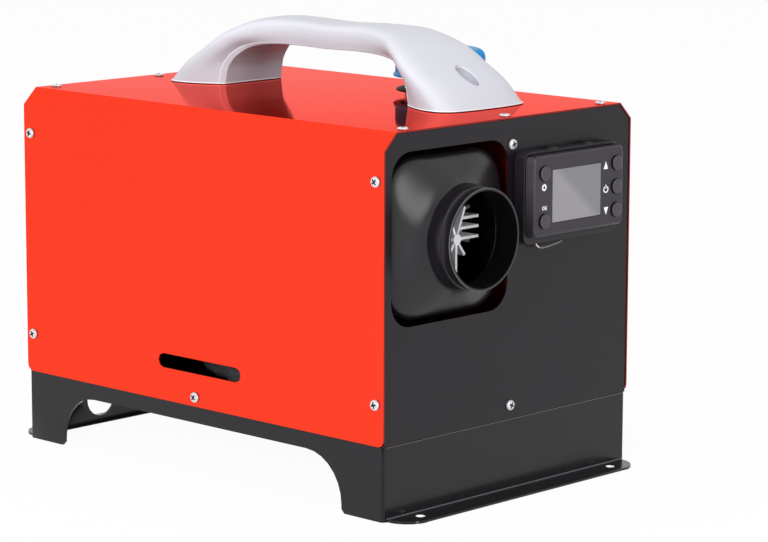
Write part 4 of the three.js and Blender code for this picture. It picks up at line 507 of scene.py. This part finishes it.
def rounded_copy(node, look, edge, fold=0.0, fold_test=None, extra=(), paint=None, smooth=SMOOTH):
    """The node's own shape with its sharp edges rounded, and chosen long folds rounded more.

    paint gives the material slot of each face: 0 for the look, 1 and up for the extra ones.
    """
    bm = bmesh.new()
    bm.from_mesh(NODES[node].data)
    bmesh.ops.remove_doubles(bm, verts=bm.verts, dist=WELD)
    bmesh.ops.dissolve_limit(bm, angle_limit=FLAT_ANGLE, verts=bm.verts, edges=bm.edges,
                             use_dissolve_boundaries=False)
    if fold:
        folds = [e for e in bm.edges if len(e.link_faces) == 2
                 and e.calc_face_angle(0) > FOLD_ANGLE and fold_test(e)]
        bmesh.ops.bevel(bm, geom=folds, offset=fold, offset_type="OFFSET", segments=3, profile=0.5,
                        affect="EDGES", clamp_overlap=True)
    sharp = [e for e in bm.edges if len(e.link_faces) == 2
             and e.calc_face_angle(0) > SHARP_ANGLE and e.calc_length() > SHORTEST * edge]
    bmesh.ops.bevel(bm, geom=sharp, offset=edge, offset_type="OFFSET", segments=2, profile=0.5,
                    affect="EDGES", clamp_overlap=True)
    if paint:
        bm.normal_update()
        for face in bm.faces:
            face.material_index = paint(face)
    piece = add_object(node + "_finish", bm, look, smooth, extra)
    even_normals(piece)
    return piece


def runs_along(edge, axis, low):
    """Whether an edge lies along an axis and is longer than low."""
    run = edge.verts[1].co - edge.verts[0].co
    return abs(run[axis]) > 0.98 * run.length and run.length > low


# ---------------------------------------------------------------- handle

HANDLE_X = 25.0          # the handle's middle, millimetres
HANDLE_Y = 198.7
HANDLE_FOOT = 279.3
# The right half of a section's round side: shares of the inner and of the outer half width that
# add up to the place across, and the place from the inner to the outer side, 0 to 1.
HANDLE_SECTION = [
    (0.35, 0.66, 0.37), (0, 1, 0.64), (0, 0.96, 0.82), (0, 0.78, 0.94), (0, 0.42, 0.99), (0, 0, 1),
]
# Sections from the front foot to the middle: the outer side's place along the case and height, the
# same of the inner side, and the half widths of the outer and of the inner side, millimetres.
HANDLE_STATIONS = [
    (-156, 0, -99.3, 0, 46.5, 34.7),
    (-139.2, 15.4, -97.5, 9.5, 46, 34.6),
    (-126, 24.2, -96.3, 13.7, 45, 34),
    (-115.4, 30.5, -94.5, 17, 44, 33),
    (-105.6, 37.1, -89.6, 23, 42.5, 31.3),
    (-93, 45.1, -79.5, 29.8, 37.7, 26.3),
    (-71, 53.5, -62, 33.6, 28.2, 22.5),
    (-40, 54.9, -34.4, 34.6, 21.5, 18.5),
    (0, 53.8, 0, 34.1, 21, 18.5),
]
FLAT_POINTS = 4      # section points before the smooth crown, with the two crease lines among them
BAR_HALF = 21.0      # half width of the bar, where the strip beside the inner face is narrowest
LEG_HALF = 46.0      # half width of a leg at its foot, where the strip is widest
STRIP = (0.7, 2.5)   # width of the strip at the bar, and how much wider it gets at the foot
LINE = (0.3, 0.3)    # the same for each crease line
FLAT_SHARE = 0.36    # of the inner half width, where the section's first point lies
EDGE_SHARE = 0.985   # of the inner half width, where the round side starts
SLANT = 0.4          # share of a crease line's width that it rises or stays in from the edge
CREASES = (1, 3, -5, -3)     # sides of the section that are crease lines, which get a lighter grey as a painted highlight


def handle_ring(station):
    """One section: a flat inner face, a slanted strip on each side, and a round outer side."""
    outer_y, outer_z, inner_y, inner_z, outer_half, inner_half = station
    thick = math.hypot(outer_y - inner_y, outer_z - inner_z)
    leg = min(max((outer_half - BAR_HALF) / (LEG_HALF - BAR_HALF), 0), 1)
    strip = STRIP[0] + STRIP[1] * leg
    line = LINE[0] + LINE[1] * leg
    edge = inner_half * EDGE_SHARE
    right = [(FLAT_SHARE * inner_half, 0), (edge - strip - line, 0),
             (edge - strip, SLANT * line / thick), (edge - SLANT * line, strip / thick),
             (edge, (strip + line) / thick)]
    right += [(inner_half * a + outer_half * b, h) for a, b, h in HANDLE_SECTION]
    crown = right[FLAT_POINTS:] + [(-x, h) for x, h in reversed(right[FLAT_POINTS:-1])]
    loop = right[:FLAT_POINTS] + smooth_run(crown, 4)
    loop += [(-x, h) for x, h in reversed(right[:FLAT_POINTS])]
    return [row(HANDLE_X + x, HANDLE_Y + inner_y + (outer_y - inner_y) * h,
                HANDLE_FOOT + inner_z + (outer_z - inner_z) * h) for x, h in loop]


OVAL_LONG = 12.0      # half length down the slope, millimetres
OVAL_WIDE = 7.3       # half width
OVAL_SHALLOW = 1.5    # depth of the recess at its upper end
OVAL_DEEP = 4.0       # depth at its lower end
OVAL_SLOPE = math.radians(31.0)
OVAL_REACH = 127.7    # from the handle's middle to the oval's centre, along the case
OVAL_HEIGHT = 20.9    # of the slope's surface there, above the handle's foot
OVAL_OFF = 3.0        # from the handle's middle line, across the case
# Rings of the cutter, from its floor up: share of the oval's size, share of the depth, and the
# height over the slope's surface.
OVAL_RINGS = [(0.86, 1.0, 0.0), (0.95, 0.86, 0.0), (1.0, 0.6, 0.0), (1.0, 0.0, 0.4),
              (1.06, 0.0, 1.0), (1.06, 0.0, 9.0)]


def oval_frame(end):
    """The oval's own axes on one slope: across, down the slope, and out of it."""
    centre = row(HANDLE_X + OVAL_OFF, HANDLE_Y + end * OVAL_REACH, HANDLE_FOOT + OVAL_HEIGHT)
    return Matrix.Translation(centre) @ Matrix.Rotation(-end * OVAL_SLOPE, 4, "X")


def oval_cutter(end):
    """The oval recess on one slope of the handle, which gets deeper towards the foot."""
    axes = oval_frame(end)
    rings = []
    for grow, depth, lift in OVAL_RINGS:
        ring = []
        for k in range(72):
            angle = 2 * math.pi * k / 72
            x = OVAL_WIDE * grow * math.cos(angle)
            y = OVAL_LONG * grow * math.sin(angle)
            share = 0.5 + 0.5 * y * end / OVAL_LONG
            deep = depth * (OVAL_SHALLOW + (OVAL_DEEP - OVAL_SHALLOW) * share)
            ring.append(axes @ Vector((x * MM, y * MM, (lift - deep) * MM)))
        rings.append(ring)
    bm = bmesh.new()
    bridge(bm, rings, closed=False)
    return add_object("oval_cutter", bm, "grey_plastic")


def even_loop(ring, count):
    """Evenly spaced places round a closed ring."""
    lengths = [(ring[(i + 1) % len(ring)] - p).length for i, p in enumerate(ring)]
    total = sum(lengths)
    out = []
    for k in range(count):
        want = total * k / count
        i = 0
        while want > lengths[i]:
            want -= lengths[i]
            i += 1
        out.append(ring[i].lerp(ring[(i + 1) % len(ring)], want / lengths[i]))
    return out


def bead(name, loop, radius, look):
    """A thin round bead along a closed loop of places."""
    count = len(loop)
    rings = []
    for i, p in enumerate(loop):
        ahead = (loop[(i + 1) % count] - loop[i - 1]).normalized()
        side = ahead.cross(Vector((0, 0, 1))).normalized()
        rings.append([p + radius * (side * math.cos(a) + Vector((0, 0, 1)) * math.sin(a))
                      for a in (2 * math.pi * k / 8 for k in range(8))])
    bm = bmesh.new()
    bridge(bm, rings, closed=True)
    return add_object(name, bm, look, 60)


def crisp_borders(mesh):
    """Marks each edge sharp where two materials meet."""
    looks = {}
    for face in mesh.polygons:
        for key in face.edge_keys:
            looks.setdefault(key, set()).add(face.material_index)
    for edge in mesh.edges:
        if len(looks.get(edge.key, ())) > 1:
            edge.use_edge_sharp = True


def make_handle():
    """The grip with its creases and oval recesses, and a bead round each foot."""
    mirrored = [(-a, b, -c, d, e, f) for a, b, c, d, e, f in reversed(HANDLE_STATIONS[:-1])]
    stations = smooth_run(HANDLE_STATIONS + mirrored, 6)
    stations = [(a, max(b, 0), c, max(d, 0), e, f) for a, b, c, d, e, f in stations]
    bm = bmesh.new()
    rings = [handle_ring(s) for s in stations]
    bridge(bm, rings, closed=False)
    count = len(rings[0])
    bm.faces.ensure_lookup_table()
    for i in range(len(rings) - 1):
        for k in CREASES:
            bm.faces[i * count + k % count].material_index = 2
    piece = add_object("handle_grip", bm, "grey_plastic", 50, (OVAL_SHADE_GREY, CREASE_HIGHLIGHT_GREY))
    cut_out(piece, [oval_cutter(-1), oval_cutter(1)])
    piece.data.shade_smooth()
    piece.data.set_sharp_from_angle(angle=math.radians(35))
    # The floors and walls of the recesses get a darker grey as painted shade.
    for axes in (oval_frame(-1).inverted(), oval_frame(1).inverted()):
        for face in piece.data.polygons:
            middle = axes @ face.center / MM
            reach = math.hypot(middle.x / OVAL_WIDE, middle.y / OVAL_LONG)
            if reach < 1.005 and abs(middle.z) < 6:
                face.material_index = 1
    crisp_borders(piece.data)
    place(piece, "case", "grey_plastic", "handle")
    # Each foot gets a thin near-white bead as a painted highlight.
    for name, ring in (("front", rings[-1]), ("rear", rings[0])):
        loop = [p + Vector((0, 0, 0.5 * MM)) for p in even_loop(ring, 96)]
        place(bead("handle_foot_bead_" + name, loop, 0.5 * MM, FOOT_BEAD_HIGHLIGHT), "case", "grey_plastic")


# ---------------------------------------------------------------- outlet hood

AXIS_X = -65.5           # the collar's axis, millimetres
AXIS_Z = 200.0
SEAM = 0.22              # how far the line where the mould halves meet stands out
HOOD_HALF = 59.0         # half width of the square back
HOOD_CORNER = 28.0       # radius of its corners
HOOD_WALL = 2.2
HOOD_STEPS = 16          # of the run from the square back to the round collar
COLLAR_RADIUS = 37.5     # where the run ends
COLLAR_INNER = 34.9
# The collar from its foot over its rim to the inside: radius and body y.
COLLAR_PROFILE = [
    (37.6, -12.4), (37.6, -23.2), (37.45, -23.8), (36.5, -24.15), (36.35, -24.6),
    (36.35, -30.2), (36.5, -30.6), (36.95, -30.8), (37.0, -31.1), (37.0, -31.7),
    (36.85, -31.93), (36.6, -32.0), (35.3, -32.0), (35.05, -31.93), (COLLAR_INNER, -31.7),
    (COLLAR_INNER, -12.0),
]


def hood_angles():
    """Even angles round the axis, and close ones beside the seam on the left and right."""
    angles = [2 * math.pi * k / 112 for k in range(112)]
    for middle in (0.0, math.pi):
        angles += [middle + d for d in (-0.014, -0.0085, 0.0085, 0.014)]
    return sorted(a % (2 * math.pi) for a in angles)


HOOD_ANGLES = hood_angles()


def square_ring(half, corner, y, seam=0.0):
    """A square ring with round corners about the collar's axis, with the seam standing out."""
    points = []
    for angle in HOOD_ANGLES:
        quarter = math.pi / 2
        folded = abs(((angle + quarter / 2) % quarter) - quarter / 2)
        reach = half / math.cos(folded)
        centre = half - corner
        if half * math.tan(folded) > centre:
            along = centre * (math.cos(folded) + math.sin(folded))
            reach = along + math.sqrt(max(corner ** 2 - 2 * centre ** 2 + along ** 2, 0))
        off = min(abs(angle - m) for m in (0.0, math.pi, 2 * math.pi))
        if off < 0.005:
            reach += seam
        points.append(row(AXIS_X + reach * math.cos(angle), y, AXIS_Z + reach * math.sin(angle)))
    return points


def make_hood():
    """The hood from its square back to the collar, and back along the inside."""
    back, start = 14.0, -12.0
    front = back - 6.0

    def hood_run(wall, seam):
        rings = [square_ring(HOOD_HALF - wall, HOOD_CORNER - wall, back, seam)]
        for i in range(HOOD_STEPS + 1):
            t = i / HOOD_STEPS
            ease = t * t * (3 - 2 * t)
            y = front + (start - front) * t
            half = HOOD_HALF + (COLLAR_RADIUS - HOOD_HALF) * ease
            corner = HOOD_CORNER + (COLLAR_RADIUS - HOOD_CORNER) * math.sqrt(ease)
            rings.append(square_ring(half - wall, min(corner, half) - wall, y,
                                     seam * (1 - ease) ** 0.5))
        return rings

    rings = hood_run(0.0, SEAM)
    rings += [square_ring(radius, radius, y) for radius, y in COLLAR_PROFILE]
    rings += list(reversed(hood_run(HOOD_WALL, 0.0)))
    bm = bmesh.new()
    bridge(bm, rings, closed=True)
    # The inside gets a near black as painted shade, and the front of the rim a lighter grey as a
    # painted highlight.
    for face in bm.faces:
        middle = face.calc_center_median()
        radius = math.hypot(middle.x - AXIS_X * MM, middle.z - AXIS_Z * MM) / MM
        if radius < 35.2 and middle.y < row(0, -8, 0).y:
            face.material_index = 1
        elif radius > 36.7 and middle.y < row(0, -31.6, 0).y:
            face.material_index = 2
    piece = add_object("outlet_hood_moulding", bm, "black_plastic", 28,
                       (SHADE_BLACK, RIM_HIGHLIGHT_GREY))
    place(piece, "case", "black_plastic", "outlet_hood")


# ---------------------------------------------------------------- fuel cap

CAP_RIBS = 60
CAP_GROOVE = 1.0      # depth of the grooves between the ribs, millimetres
CAP_SEGMENTS = 480
CAP_PLACE = (0.093, 0.158 + ROW_Y, 0)
CAP_RADIUS = 35.2
RIBS_LOW = 293.0      # the grooves fade in from here and end above the second height
RIBS_HIGH = 311.3
# From the inside of the top down the wall, round its lower rim and up over the top.
CAP_PROFILE = [
    (0, 305.5), (31.3, 305.5), (31.5, 305.2), (31.5, 289.9), (31.8, 289.6), (36.5, 289.6),
    (36.7, 289.85), (36.7, 291.0), (36.4, 291.5), (35.6, 292.0), (35.25, 292.7),
] + [(CAP_RADIUS, z) for z in (293.2, 294, 295, 296, 297.5, 299, 301, 303, 304.4)] + [
    (34.9, 306), (34.4, 307.5), (33.2, 309), (31.6, 310.2), (29.2, 311.0), (25, 311.45),
    (21.0, 311.5), (20.3, 311.1), (13, 310.8), (6, 310.7), (0, 310.7),
]


def ribbed(pair, angle):
    """The cap's radius at an angle, which the grooves lessen on its wall."""
    reach, z = pair
    if reach < CAP_RADIUS * 0.86 or z < RIBS_LOW or z > RIBS_HIGH:
        return reach
    wave = 0.5 - 0.5 * math.cos(CAP_RIBS * angle)
    fade = min((z - RIBS_LOW) / 1.2, (RIBS_HIGH - z) / 1.6, 1.0)
    return reach - CAP_GROOVE * fade * wave ** 2


def make_cap():
    bm = bmesh.new()
    revolve(bm, [(r * MM, z * MM) for r, z in CAP_PROFILE], CAP_SEGMENTS,
            Matrix.Translation(CAP_PLACE),
            lambda pair, angle: ribbed((pair[0] / MM, pair[1] / MM), angle) * MM)
    piece = add_object("fuel_cap_moulding", bm, "blue_plastic", 40)
    place(piece, "cap", "blue_plastic", "fuel_cap")


def make_filler_ring():
    """A rubber grommet: a thin lip on the cover that rises to a collar round the neck."""
    low, high = (Vector(c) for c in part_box("filler_ring"))
    centre = (low + high) / 2
    outer = (high.x - low.x) / 2 / MM
    foot = low.z / MM
    profile = [(outer, 279.4), (outer - 0.2, 279.6), (outer - 1.2, 279.75),
               (outer - 2.8, 280.0), (outer - 4.4, 280.2), (outer - 4.8, 280.4),
               (outer - 5.2, 280.4), (outer - 5.5, 280.1), (outer - 5.5, foot + 0.5),
               (outer - 5.0, foot), (outer - 2.6, foot), (outer - 2.2, foot + 0.5),
               (outer - 2.2, 277.5), (outer - 0.4, 279.3)]
    rings = []
    for k in range(96):
        angle = 2 * math.pi * k / 96
        rings.append([Vector((centre.x + r * MM * math.cos(angle),
                              centre.y + r * MM * math.sin(angle), z * MM)) for r, z in profile])
    bm = bmesh.new()
    bridge(bm, rings, closed=True)
    place(add_object("filler_grommet", bm, "rubber", 50), "case", "rubber", "filler_ring")


# ---------------------------------------------------------------- screws

HEAD_HEIGHT = 2.2     # millimetres
TOP_HEAD = 0.7        # the top screws' share of it
THREAD_TURNS = 9
THREAD_PITCH = 0.66
# Half length, half width and height of the cross recess, from its floor to over the head.
RECESS = [(1.2, 0.42, 0.6), (2.4, 0.66, 1.95), (2.75, 0.76, 3.2)]
# How far each screw was turned, radians, in the order of their names.
SCREW_TURNS = [0.35, 1.1, 0.7, 0.2, 0.9, 1.3, 0.5, 0.05, 0.8, 1.2, 0.4, 0.6, 1.0, 0.15, 0.75,
               1.25, 0.55, 0.3]


def screw_mesh():
    """A pan head with a cross recess on a threaded shank, head outwards along Z, seat at z 0."""
    bm = bmesh.new()
    profile = [(0, HEAD_HEIGHT), (1.4, 2.18), (2.5, 2.08), (3.2, 1.86), (3.65, 1.5), (3.92, 1.0),
               (4.0, 0.5), (3.98, 0.15), (3.85, 0.0), (1.6, 0.0)]
    for i in range(THREAD_TURNS):
        profile += [(1.28, -0.35 - THREAD_PITCH * i), (1.6, -0.62 - THREAD_PITCH * i)]
    profile += [(1.1, -6.2), (0, -6.5)]
    revolve(bm, [(r * MM, z * MM) for r, z in profile], 40, Matrix.Identity(4))
    piece = add_object("screw_pattern", bm, "screw_steel", 40)
    cutters = []
    for turn in (0, math.pi / 2):
        cb = bmesh.new()
        spin = Matrix.Rotation(turn, 4, "Z")
        rings = []
        for half_long, half_wide, z in RECESS:
            rings.append([spin @ Vector((x * MM, y * MM, z * MM)) for x, y in (
                (half_long, half_wide), (-half_long, half_wide),
                (-half_long, -half_wide), (half_long, -half_wide))])
        bridge(cb, rings, closed=False)
        cutters.append(add_object("recess_cutter", cb, "screw_steel"))
    cut_out(piece, cutters)
    mesh = piece.data
    mesh.shade_smooth()
    mesh.set_sharp_from_angle(angle=math.radians(40))
    # The cross recess gets a dark grey as painted shade.
    mesh.materials.append(SCREW_CROSS_SHADE)
    for face in mesh.polygons:
        reach = math.hypot(face.center.x, face.center.y) / MM
        if reach < 2.9 and 0.3 < face.center.z / MM < 1.75:
            face.material_index = 1
    bpy.data.objects.remove(piece)
    return mesh


def make_screws():
    """One screw at each screw node, on its seat and with its head outwards."""
    pattern = screw_mesh()
    screws = sorted(n for n in NODES if "_screw_" in n)
    head = HEAD_HEIGHT * MM
    for node, turn in zip(screws, SCREW_TURNS):
        low, high = (Vector(c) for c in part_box(node))
        middle = (low + high) / 2
        if node.startswith("side_screw_left"):
            axis, seat = Vector((-1, 0, 0)), Vector((low.x + head, middle.y, middle.z))
        elif node.startswith("side_screw_right"):
            axis, seat = Vector((1, 0, 0)), Vector((high.x - head, middle.y, middle.z))
        elif node.startswith("top_screw"):
            axis, seat = Vector((0, 0, 1)), Vector((middle.x, middle.y, high.z - head))
        else:
            axis, seat = Vector((0, -1, 0)), Vector((middle.x, low.y + head, middle.z))
        piece = bpy.data.objects.new(node + "_head", pattern)
        bpy.context.scene.collection.objects.link(piece)
        aim = axis.to_track_quat("Z", "Y").to_matrix().to_4x4()
        if node.startswith("top_screw"):
            aim = aim @ Matrix.Diagonal((1, 1, TOP_HEAD, 1))
        piece.matrix_world = Matrix.Translation(seat) @ aim @ Matrix.Rotation(turn, 4, "Z")
        place(piece, "case", "screw_steel", node)


# ---------------------------------------------------------------- controller

FACE_Y = -18.0            # the bezel's face, body y in millimetres
PRINT_SUNK = 0.03         # how far a print reaches into the bezel, millimetres
PRINT_DEPTH = 0.16        # from its back to its front
KEY_CROWN = [(0, 0), (2.6, -0.03), (4.3, -0.14), (5.0, -0.28), (5.35, -0.48), (5.55, -0.8),
             (5.6, -1.1)]


def make_buttons():
    """Low keys with a slightly crowned face and side walls darkened as painted shade, each on its
    own body.
    """
    for node in ("button_menu", "button_ok", "button_up", "button_power", "button_down"):
        low, high = (Vector(c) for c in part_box(node))
        centre = Vector(((low.x + high.x) / 2, low.y, (low.z + high.z) / 2))
        depth = (high.y - low.y) / MM
        flange = (high.x - low.x) / 2 / MM
        # The flange behind the bezel keeps the key in place.
        shape = KEY_CROWN + [(5.6, 1.05 - depth), (flange, 1.0 - depth), (flange, -depth),
                             (0, -depth)]
        bm = bmesh.new()
        turn = Matrix.Translation(centre) @ Matrix.Rotation(math.radians(90), 4, "X")
        revolve(bm, [(r * MM, z * MM) for r, z in shape], 48, turn)
        bm.normal_update()
        for face in bm.faces:
            # The side walls get a near black: painted shade.
            face.material_index = 1 if abs(face.normal.y) < 0.5 else 0
        piece = add_object(node + "_key", bm, KEY, 40, (SHADE_BLACK,))
        place(piece, node.replace("button_", "") + "_key", "black_plastic", node)


def prism_face(bm, loop):
    """A thin raised print on the bezel, from a loop of (x, z) in millimetres."""
    back = [bm.verts.new(row(x, FACE_Y + PRINT_SUNK, z)) for x, z in loop]
    front = [bm.verts.new(row(x, FACE_Y + PRINT_SUNK - PRINT_DEPTH, z)) for x, z in loop]
    count = len(loop)
    bm.faces.new(list(reversed(back)))
    bm.faces.new(front)
    for k in range(count):
        bm.faces.new((back[k], back[(k + 1) % count], front[(k + 1) % count], front[k]))


def band(bm, outer, inner, closed=True):
    """A raised print between two loops of equal length."""
    count = len(outer)
    for k in range(count if closed else count - 1):
        j = (k + 1) % count
        prism_face(bm, [outer[k], outer[j], inner[j], inner[k]])


ELLIPSE_STEPS = 32


def ellipse(x, z, rx, rz, start=0.0, end=2 * math.pi):
    angles = [start + (end - start) * k / ELLIPSE_STEPS for k in range(ELLIPSE_STEPS + 1)]
    return [(x + rx * math.cos(a), z + rz * math.sin(a)) for a in angles]


def make_icons():
    """The prints beside the keys: two arrows, a power sign, a gear and OK."""
    bm = bmesh.new()
    for x, z, way in ((84.4, 237.0, 1), (85.2, 202.7, -1)):
        arrow = [(x - 2.5, z - 2.8 * way), (x + 2.5, z - 2.8 * way), (x, z + 2.9 * way)]
        prism_face(bm, arrow[::way])
    gap = 0.62      # half angle of the gap in the power sign's ring
    arc = (math.pi / 2 + gap, 5 * math.pi / 2 - gap)
    band(bm, ellipse(84.8, 218.9, 2.9, 2.7, *arc), ellipse(84.8, 218.9, 1.95, 1.75, *arc),
         closed=False)
    prism_face(bm, [(84.35, 219.6), (85.25, 219.6), (85.25, 222.4), (84.35, 222.4)])
    gear_x, gear_z = 14.7, 227.5
    outer, inner = [], []
    for k in range(48):
        angle = 2 * math.pi * k / 48
        reach = 2.75 if (k % 6) in (0, 1, 2) else 2.15
        outer.append((gear_x + reach * math.cos(angle), gear_z + reach * math.sin(angle)))
        inner.append((gear_x + 1.15 * math.cos(angle), gear_z + 1.15 * math.sin(angle)))
    band(bm, outer, inner)
    mid = 212.2      # height of the letters' middle
    band(bm, ellipse(13.85, mid, 1.2, 1.5), ellipse(13.85, mid, 0.68, 0.95))
    prism_face(bm, [(15.55, mid - 1.5), (16.1, mid - 1.5), (16.1, mid + 1.5), (15.55, mid + 1.5)])
    prism_face(bm, [(16.1, mid - 0.35), (17.15, mid + 1.5), (17.85, mid + 1.5), (16.4, mid - 0.75)])
    prism_face(bm, [(16.4, mid + 0.05), (16.8, mid + 0.5), (17.95, mid - 1.5), (17.25, mid - 1.5)])
    place(add_object("controller_prints", bm, PRINT), "case", "black_plastic")


def tube(name, points, radius, look, sides=12):
    """A round tube along a smooth run of places in millimetres, with its ends closed."""
    path = [Vector(p) for p in smooth_run(points, 5)]
    bm = bmesh.new()
    rings = []
    side = None
    for i, p in enumerate(path):
        ahead = path[min(i + 1, len(path) - 1)] - path[max(i - 1, 0)]
        ahead.normalize()
        if side is None:
            side = ahead.orthogonal().normalized()
        side = (side - ahead * side.dot(ahead)).normalized()
        other = ahead.cross(side)
        rings.append([row(*(p + radius * (side * math.cos(2 * math.pi * k / sides)
                                          + other * math.sin(2 * math.pi * k / sides))))
                      for k in range(sides)])
    bridge(bm, rings, closed=False)
    return add_object(name, bm, look, 50)


# The lead's whole route, body frame in millimetres: the loop under the cradle, the way through
# the front panel and the divider, and the run beside the heater to its control unit.
LEAD_ROUTE = [
    (20.8, -5, 184.7), (20.9, -5, 183.5), (22.6, -5, 181.8), (27.5, -5, 180.1), (34, -5, 180.4),
    (42, -5, 181.4), (50, -4, 182.3), (56, 0.6, 182.4), (55, 10, 182), (47, 21, 181), (30, 26, 181),
    (9, 27, 181), (2, 33, 181), (0.5, 60, 184), (0.5, 120, 196), (0.5, 190, 220), (0, 235, 241.5),
    (-5, 252, 246.5), (-20, 256.5, 246.5), (-39.2, 256.5, 246.5),
]


def make_lead():
    """A grey lead with a thin pale wire, which shows in front where they leave the cradle."""
    pale = [(x, y - 0.62, z) if x < 25 and y < 0 else (x, y + 0.5, z - 0.2)
            for x, y, z in LEAD_ROUTE]
    place(tube("lead_wire_pale", pale, 0.5, WIRE_PALE), "case", "rubber", "controller_lead")
    place(tube("lead_wire_grey", LEAD_ROUTE, 0.72, WIRE_GREY), "case", "rubber",
          "controller_lead")


# ---------------------------------------------------------------- putting it together

def dress_nodes():
    """Every node that stays gets its detailed material."""
    for name, node in NODES.items():
        for index, material in enumerate(node.data.materials):
            node.data.materials[index] = LOOKS[material.name.split(".")[0]]
    NODES["intake_pipe"].data.materials[0] = PIPE_GREY


# Places on the sheets, in metres.
BASE_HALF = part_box("base_frame")[1][0]
BEND_LENGTH = 0.2             # the bends are longer
END_WALL = 0.19               # from the body's middle; the bends of the base's ends lie beyond
FLANGE_BEND = 0.004           # the bends above the end flanges lie below this height
RIM_LOW, RIM_HIGH = 0.05, 0.058      # the base's upper rim lies between
COVER_END = 0.1945            # from the body's middle; the cover's end rims lie beyond
COVER_FOOT = 0.056            # the cover's lower edge lies below this height
HOLE_ROW = 0.204              # from the body's middle to the flange holes
HOLE_REACH = 0.0042           # a little more than their radius
HOLE_TOP = 0.0025             # just above the flanges
HOLE_INSET = 0.0244           # the holes lie at least this far inside the base's sides


def base_fold(edge):
    """The bends of the base: the fold above each foot flange and the rim under each end panel."""
    middle = (edge.verts[0].co + edge.verts[1].co) / 2
    end = runs_along(edge, 0, BEND_LENGTH) and abs(middle.y - BODY_MIDDLE) > END_WALL
    return end and (middle.z < FLANGE_BEND or RIM_LOW < middle.z < RIM_HIGH)


def edge_shade_and_top_tint(face):
    """1 for the cover's faces at its ends and lower edge, darker as painted shade, and 2 for its
    top, with a redder painted reflection.
    """
    middle = face.calc_center_median()
    rim = abs(face.normal.y) > 0.9 and abs(middle.y - BODY_MIDDLE) > COVER_END
    lower = face.normal.z < -0.9 and middle.z < COVER_FOOT
    return 1 if rim or lower else 2 if face.normal.z > 0.9 else 0


def lit_hole_wall(face):
    """The walls of the holes in the end flanges, which get a near white as painted light."""
    middle = face.calc_center_median()
    near = abs(abs(middle.y - BODY_MIDDLE) - HOLE_ROW) < HOLE_REACH and middle.z < HOLE_TOP
    inside = abs(middle.x) < BASE_HALF - HOLE_INSET
    return 1 if near and inside and abs(face.normal.z) < 0.5 else 0


def dress_sheet():
    """The sheet parts, with rounded edges and bends."""
    place(rounded_copy("front_panel", "panel_paint", 0.0004),
          "case", "panel_paint", "front_panel")
    place(rounded_copy("rear_panel", "panel_paint", 0.0003),
          "case", "panel_paint", "rear_panel")
    place(rounded_copy("base_frame", "base_paint", 0.0004, 0.0009, base_fold, (HOLE_WALL_LIGHT,),
                       lit_hole_wall, smooth=24.0),
          "case", "base_paint", "base_frame")
    place(rounded_copy("cover", "red_paint", 0.0003, extra=(EDGE_SHADE_RED, TOP_RED_REFLECTION), paint=edge_shade_and_top_tint),
          "case", "red_paint", "cover")
    place(rounded_copy("divider_plate", SHADED_INNER_RED, 0.0002),
          "case", "red_paint", "divider_plate")


FRONT_WALL, REAR_WALL = 0.8, 389.2     # the base's end walls, body y in millimetres
BEAD_INSET = 3.2                       # of the beads' ends from the base's sides


def make_fold_highlights():
    """Lighter lines in the bend above each end flange and along the base's upper rim: painted
    highlights.
    """
    low, high = (Vector(c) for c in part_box("base_frame"))
    left, right = low.x / MM + BEAD_INSET, high.x / MM - BEAD_INSET
    for end, wall, out in (("front", FRONT_WALL, -1), ("rear", REAR_WALL, 1)):
        for name, y, z, radius in (("bend", wall + 0.1 * out, 2.2, 0.5), ("rim", wall, 54.15, 0.3)):
            run = [(left, y, z), (right, y, z)]
            line = tube("base_%s_%s" % (name, end), run, radius, FOLD_HIGHLIGHT_GREY, 8)
            place(line, "case", "base_paint")


def dress_controller():
    # The bezel's side walls get a lighter grey as painted light.
    place(rounded_copy("controller_bezel", BEZEL, 0.0011, extra=(BEZEL_SIDE_LIGHT,),
                       paint=lambda face: 1 if abs(face.normal.x) > 0.6 else 0),
          "case", "black_plastic", "controller_bezel")
    place(rounded_copy("controller_cradle", CRADLE, 0.0008),
          "case", "black_plastic", "controller_cradle")
    place(rounded_copy("screen_lens", "screen", 0.0002), "case", "screen", "screen_lens")


dress_nodes()
make_handle()
make_hood()
make_cap()
make_filler_ring()
make_screws()
make_buttons()
make_icons()
make_lead()
dress_sheet()
make_fold_highlights()
dress_controller()
place(rounded_copy("heat_exchanger", "cast_aluminium", 0.0003), "case", "cast_aluminium",
      "heat_exchanger")
